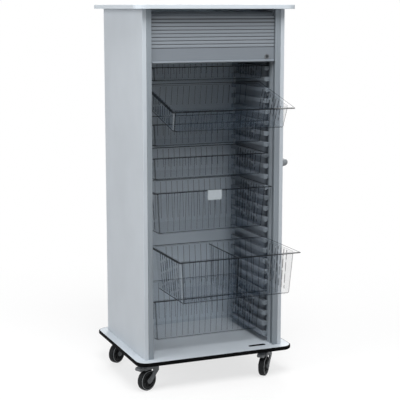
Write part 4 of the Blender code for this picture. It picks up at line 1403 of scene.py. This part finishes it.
def white_world():
    """White where it is seen or mirrored, and a weaker fill light for all else."""
    world = bpy.data.worlds.new("white_studio")
    world.use_nodes = True
    tree = world.node_tree
    inputs = {"Value": seen_directly(tree), "To Min": FILL_LIGHT, "To Max": 1.0}
    strength = add_node(tree, "ShaderNodeMapRange", inputs).outputs["Result"]
    background = tree.nodes["Background"]
    background.inputs["Color"].default_value = linear("FFFFFF")
    tree.links.new(strength, background.inputs["Strength"])
    bpy.context.scene.world = world


white_world()
print("White world with a fill of", FILL_LIGHT)

# %% White floor
FLOOR_RADIUS = 5.0
FLOOR_THICKNESS = 0.002
FLOOR_STEPS = 96
SHADOW_NEAR = 0.9
SHADOW_FAR = 2.6
SHADOW_KEPT = 0.3


def white_floor():
    """A matt disc, which turns into plain white away from the cabinet."""
    mesh = turned(((FLOOR_RADIUS, -FLOOR_THICKNESS), (FLOOR_RADIUS, 0.0)), FLOOR_STEPS)
    material, tree, shader, place = start_finish("white_floor", "F7F7F7", roughness=0.9)
    seen = seen_directly(tree)
    show_pattern(tree, shader, seen, ("A6A6A6", "F7F7F7"))
    distance = add_node(tree, "ShaderNodeVectorMath", {0: place}, operation="LENGTH").outputs["Value"]
    fade = {
        "Value": distance,
        "From Min": SHADOW_NEAR,
        "From Max": SHADOW_FAR,
        "To Min": 1.0 - SHADOW_KEPT,
        "To Max": 1.0,
    }
    paper = add_node(tree, "ShaderNodeMapRange", fade).outputs["Result"]
    shown = {0: paper, 1: seen}
    share = add_node(tree, "ShaderNodeMath", shown, operation="MULTIPLY").outputs["Value"]
    glow = add_node(tree, "ShaderNodeEmission", {"Color": linear("FFFFFF"), "Strength": 1.0})
    inputs = {0: share, 1: shader.outputs["BSDF"], 2: glow.outputs["Emission"]}
    mixed = add_node(tree, "ShaderNodeMixShader", inputs)
    tree.links.new(mixed.outputs["Shader"], tree.nodes["Material Output"].inputs["Surface"])
    mesh.materials.append(material)
    floor = bpy.data.objects.new("floor", mesh)
    collection.objects.link(floor)


white_floor()
print("White floor with a radius of", FLOOR_RADIUS, "m")

# %% [markdown]
# ## Lights
# The light is soft and comes from above and in front, so the top of the inside lies in the shadow
# of the header while its lower part is lit. A second soft box on the left lights the side panel and
# the right-hand ladder, and a third behind keeps the back and the handle side from going dull.

# %% Soft boxes
AIM = Vector((0.0, 0.0, 0.8))


def soft_box(name, place, size, power):
    """A square area light that faces the middle of the cabinet."""
    lamp = bpy.data.lights.new(name, "AREA")
    lamp.shape = "SQUARE"
    lamp.size = size
    lamp.energy = power
    item = bpy.data.objects.new(name, lamp)
    item.location = place
    item.rotation_euler = (AIM - Vector(place)).to_track_quat("-Z", "Y").to_euler()
    collection.objects.link(item)
    print(name, "at", place, "with", power, "W")


soft_box("front_soft_box", (-0.5, -2.85, 5.2), size=2.6, power=250.0)
soft_box("left_soft_box", (-4.3, -1.3, 2.6), size=2.4, power=106.0)
soft_box("back_soft_box", (2.2, 4.2, 3.6), size=2.4, power=110.0)

# %% [markdown]
# ## Camera
# The photograph looks as if it was taken with a long lens from the front left, at about head height
# and looking slightly down. The camera's place and angles come from matching the cabinet's corners.

# %% Camera
CAMERA_PLACE = (-2.0535, -4.9328, 1.7781)
CAMERA_YAW = 22.485  # degrees to the right of straight on
CAMERA_PITCH = 9.673  # degrees down
CAMERA_LENS = 101.71
SENSOR = 36.0
FAR_CLIP = 60.0

camera_data = bpy.data.cameras.new("portrait_camera")
camera_data.lens = CAMERA_LENS
camera_data.sensor_width = SENSOR
camera_data.clip_end = FAR_CLIP
camera = bpy.data.objects.new("portrait_camera", camera_data)
camera.location = CAMERA_PLACE
camera.rotation_euler = (math.radians(90 - CAMERA_PITCH), 0.0, math.radians(-CAMERA_YAW))
collection.objects.link(camera)
scene = bpy.context.scene
scene.camera = camera
scene.view_settings.view_transform = "Standard"
scene.cycles.transparent_max_bounces = 40  # a line of sight crosses many clear faces
print("Camera at", CAMERA_PLACE, "with a", CAMERA_LENS, "mm lens")
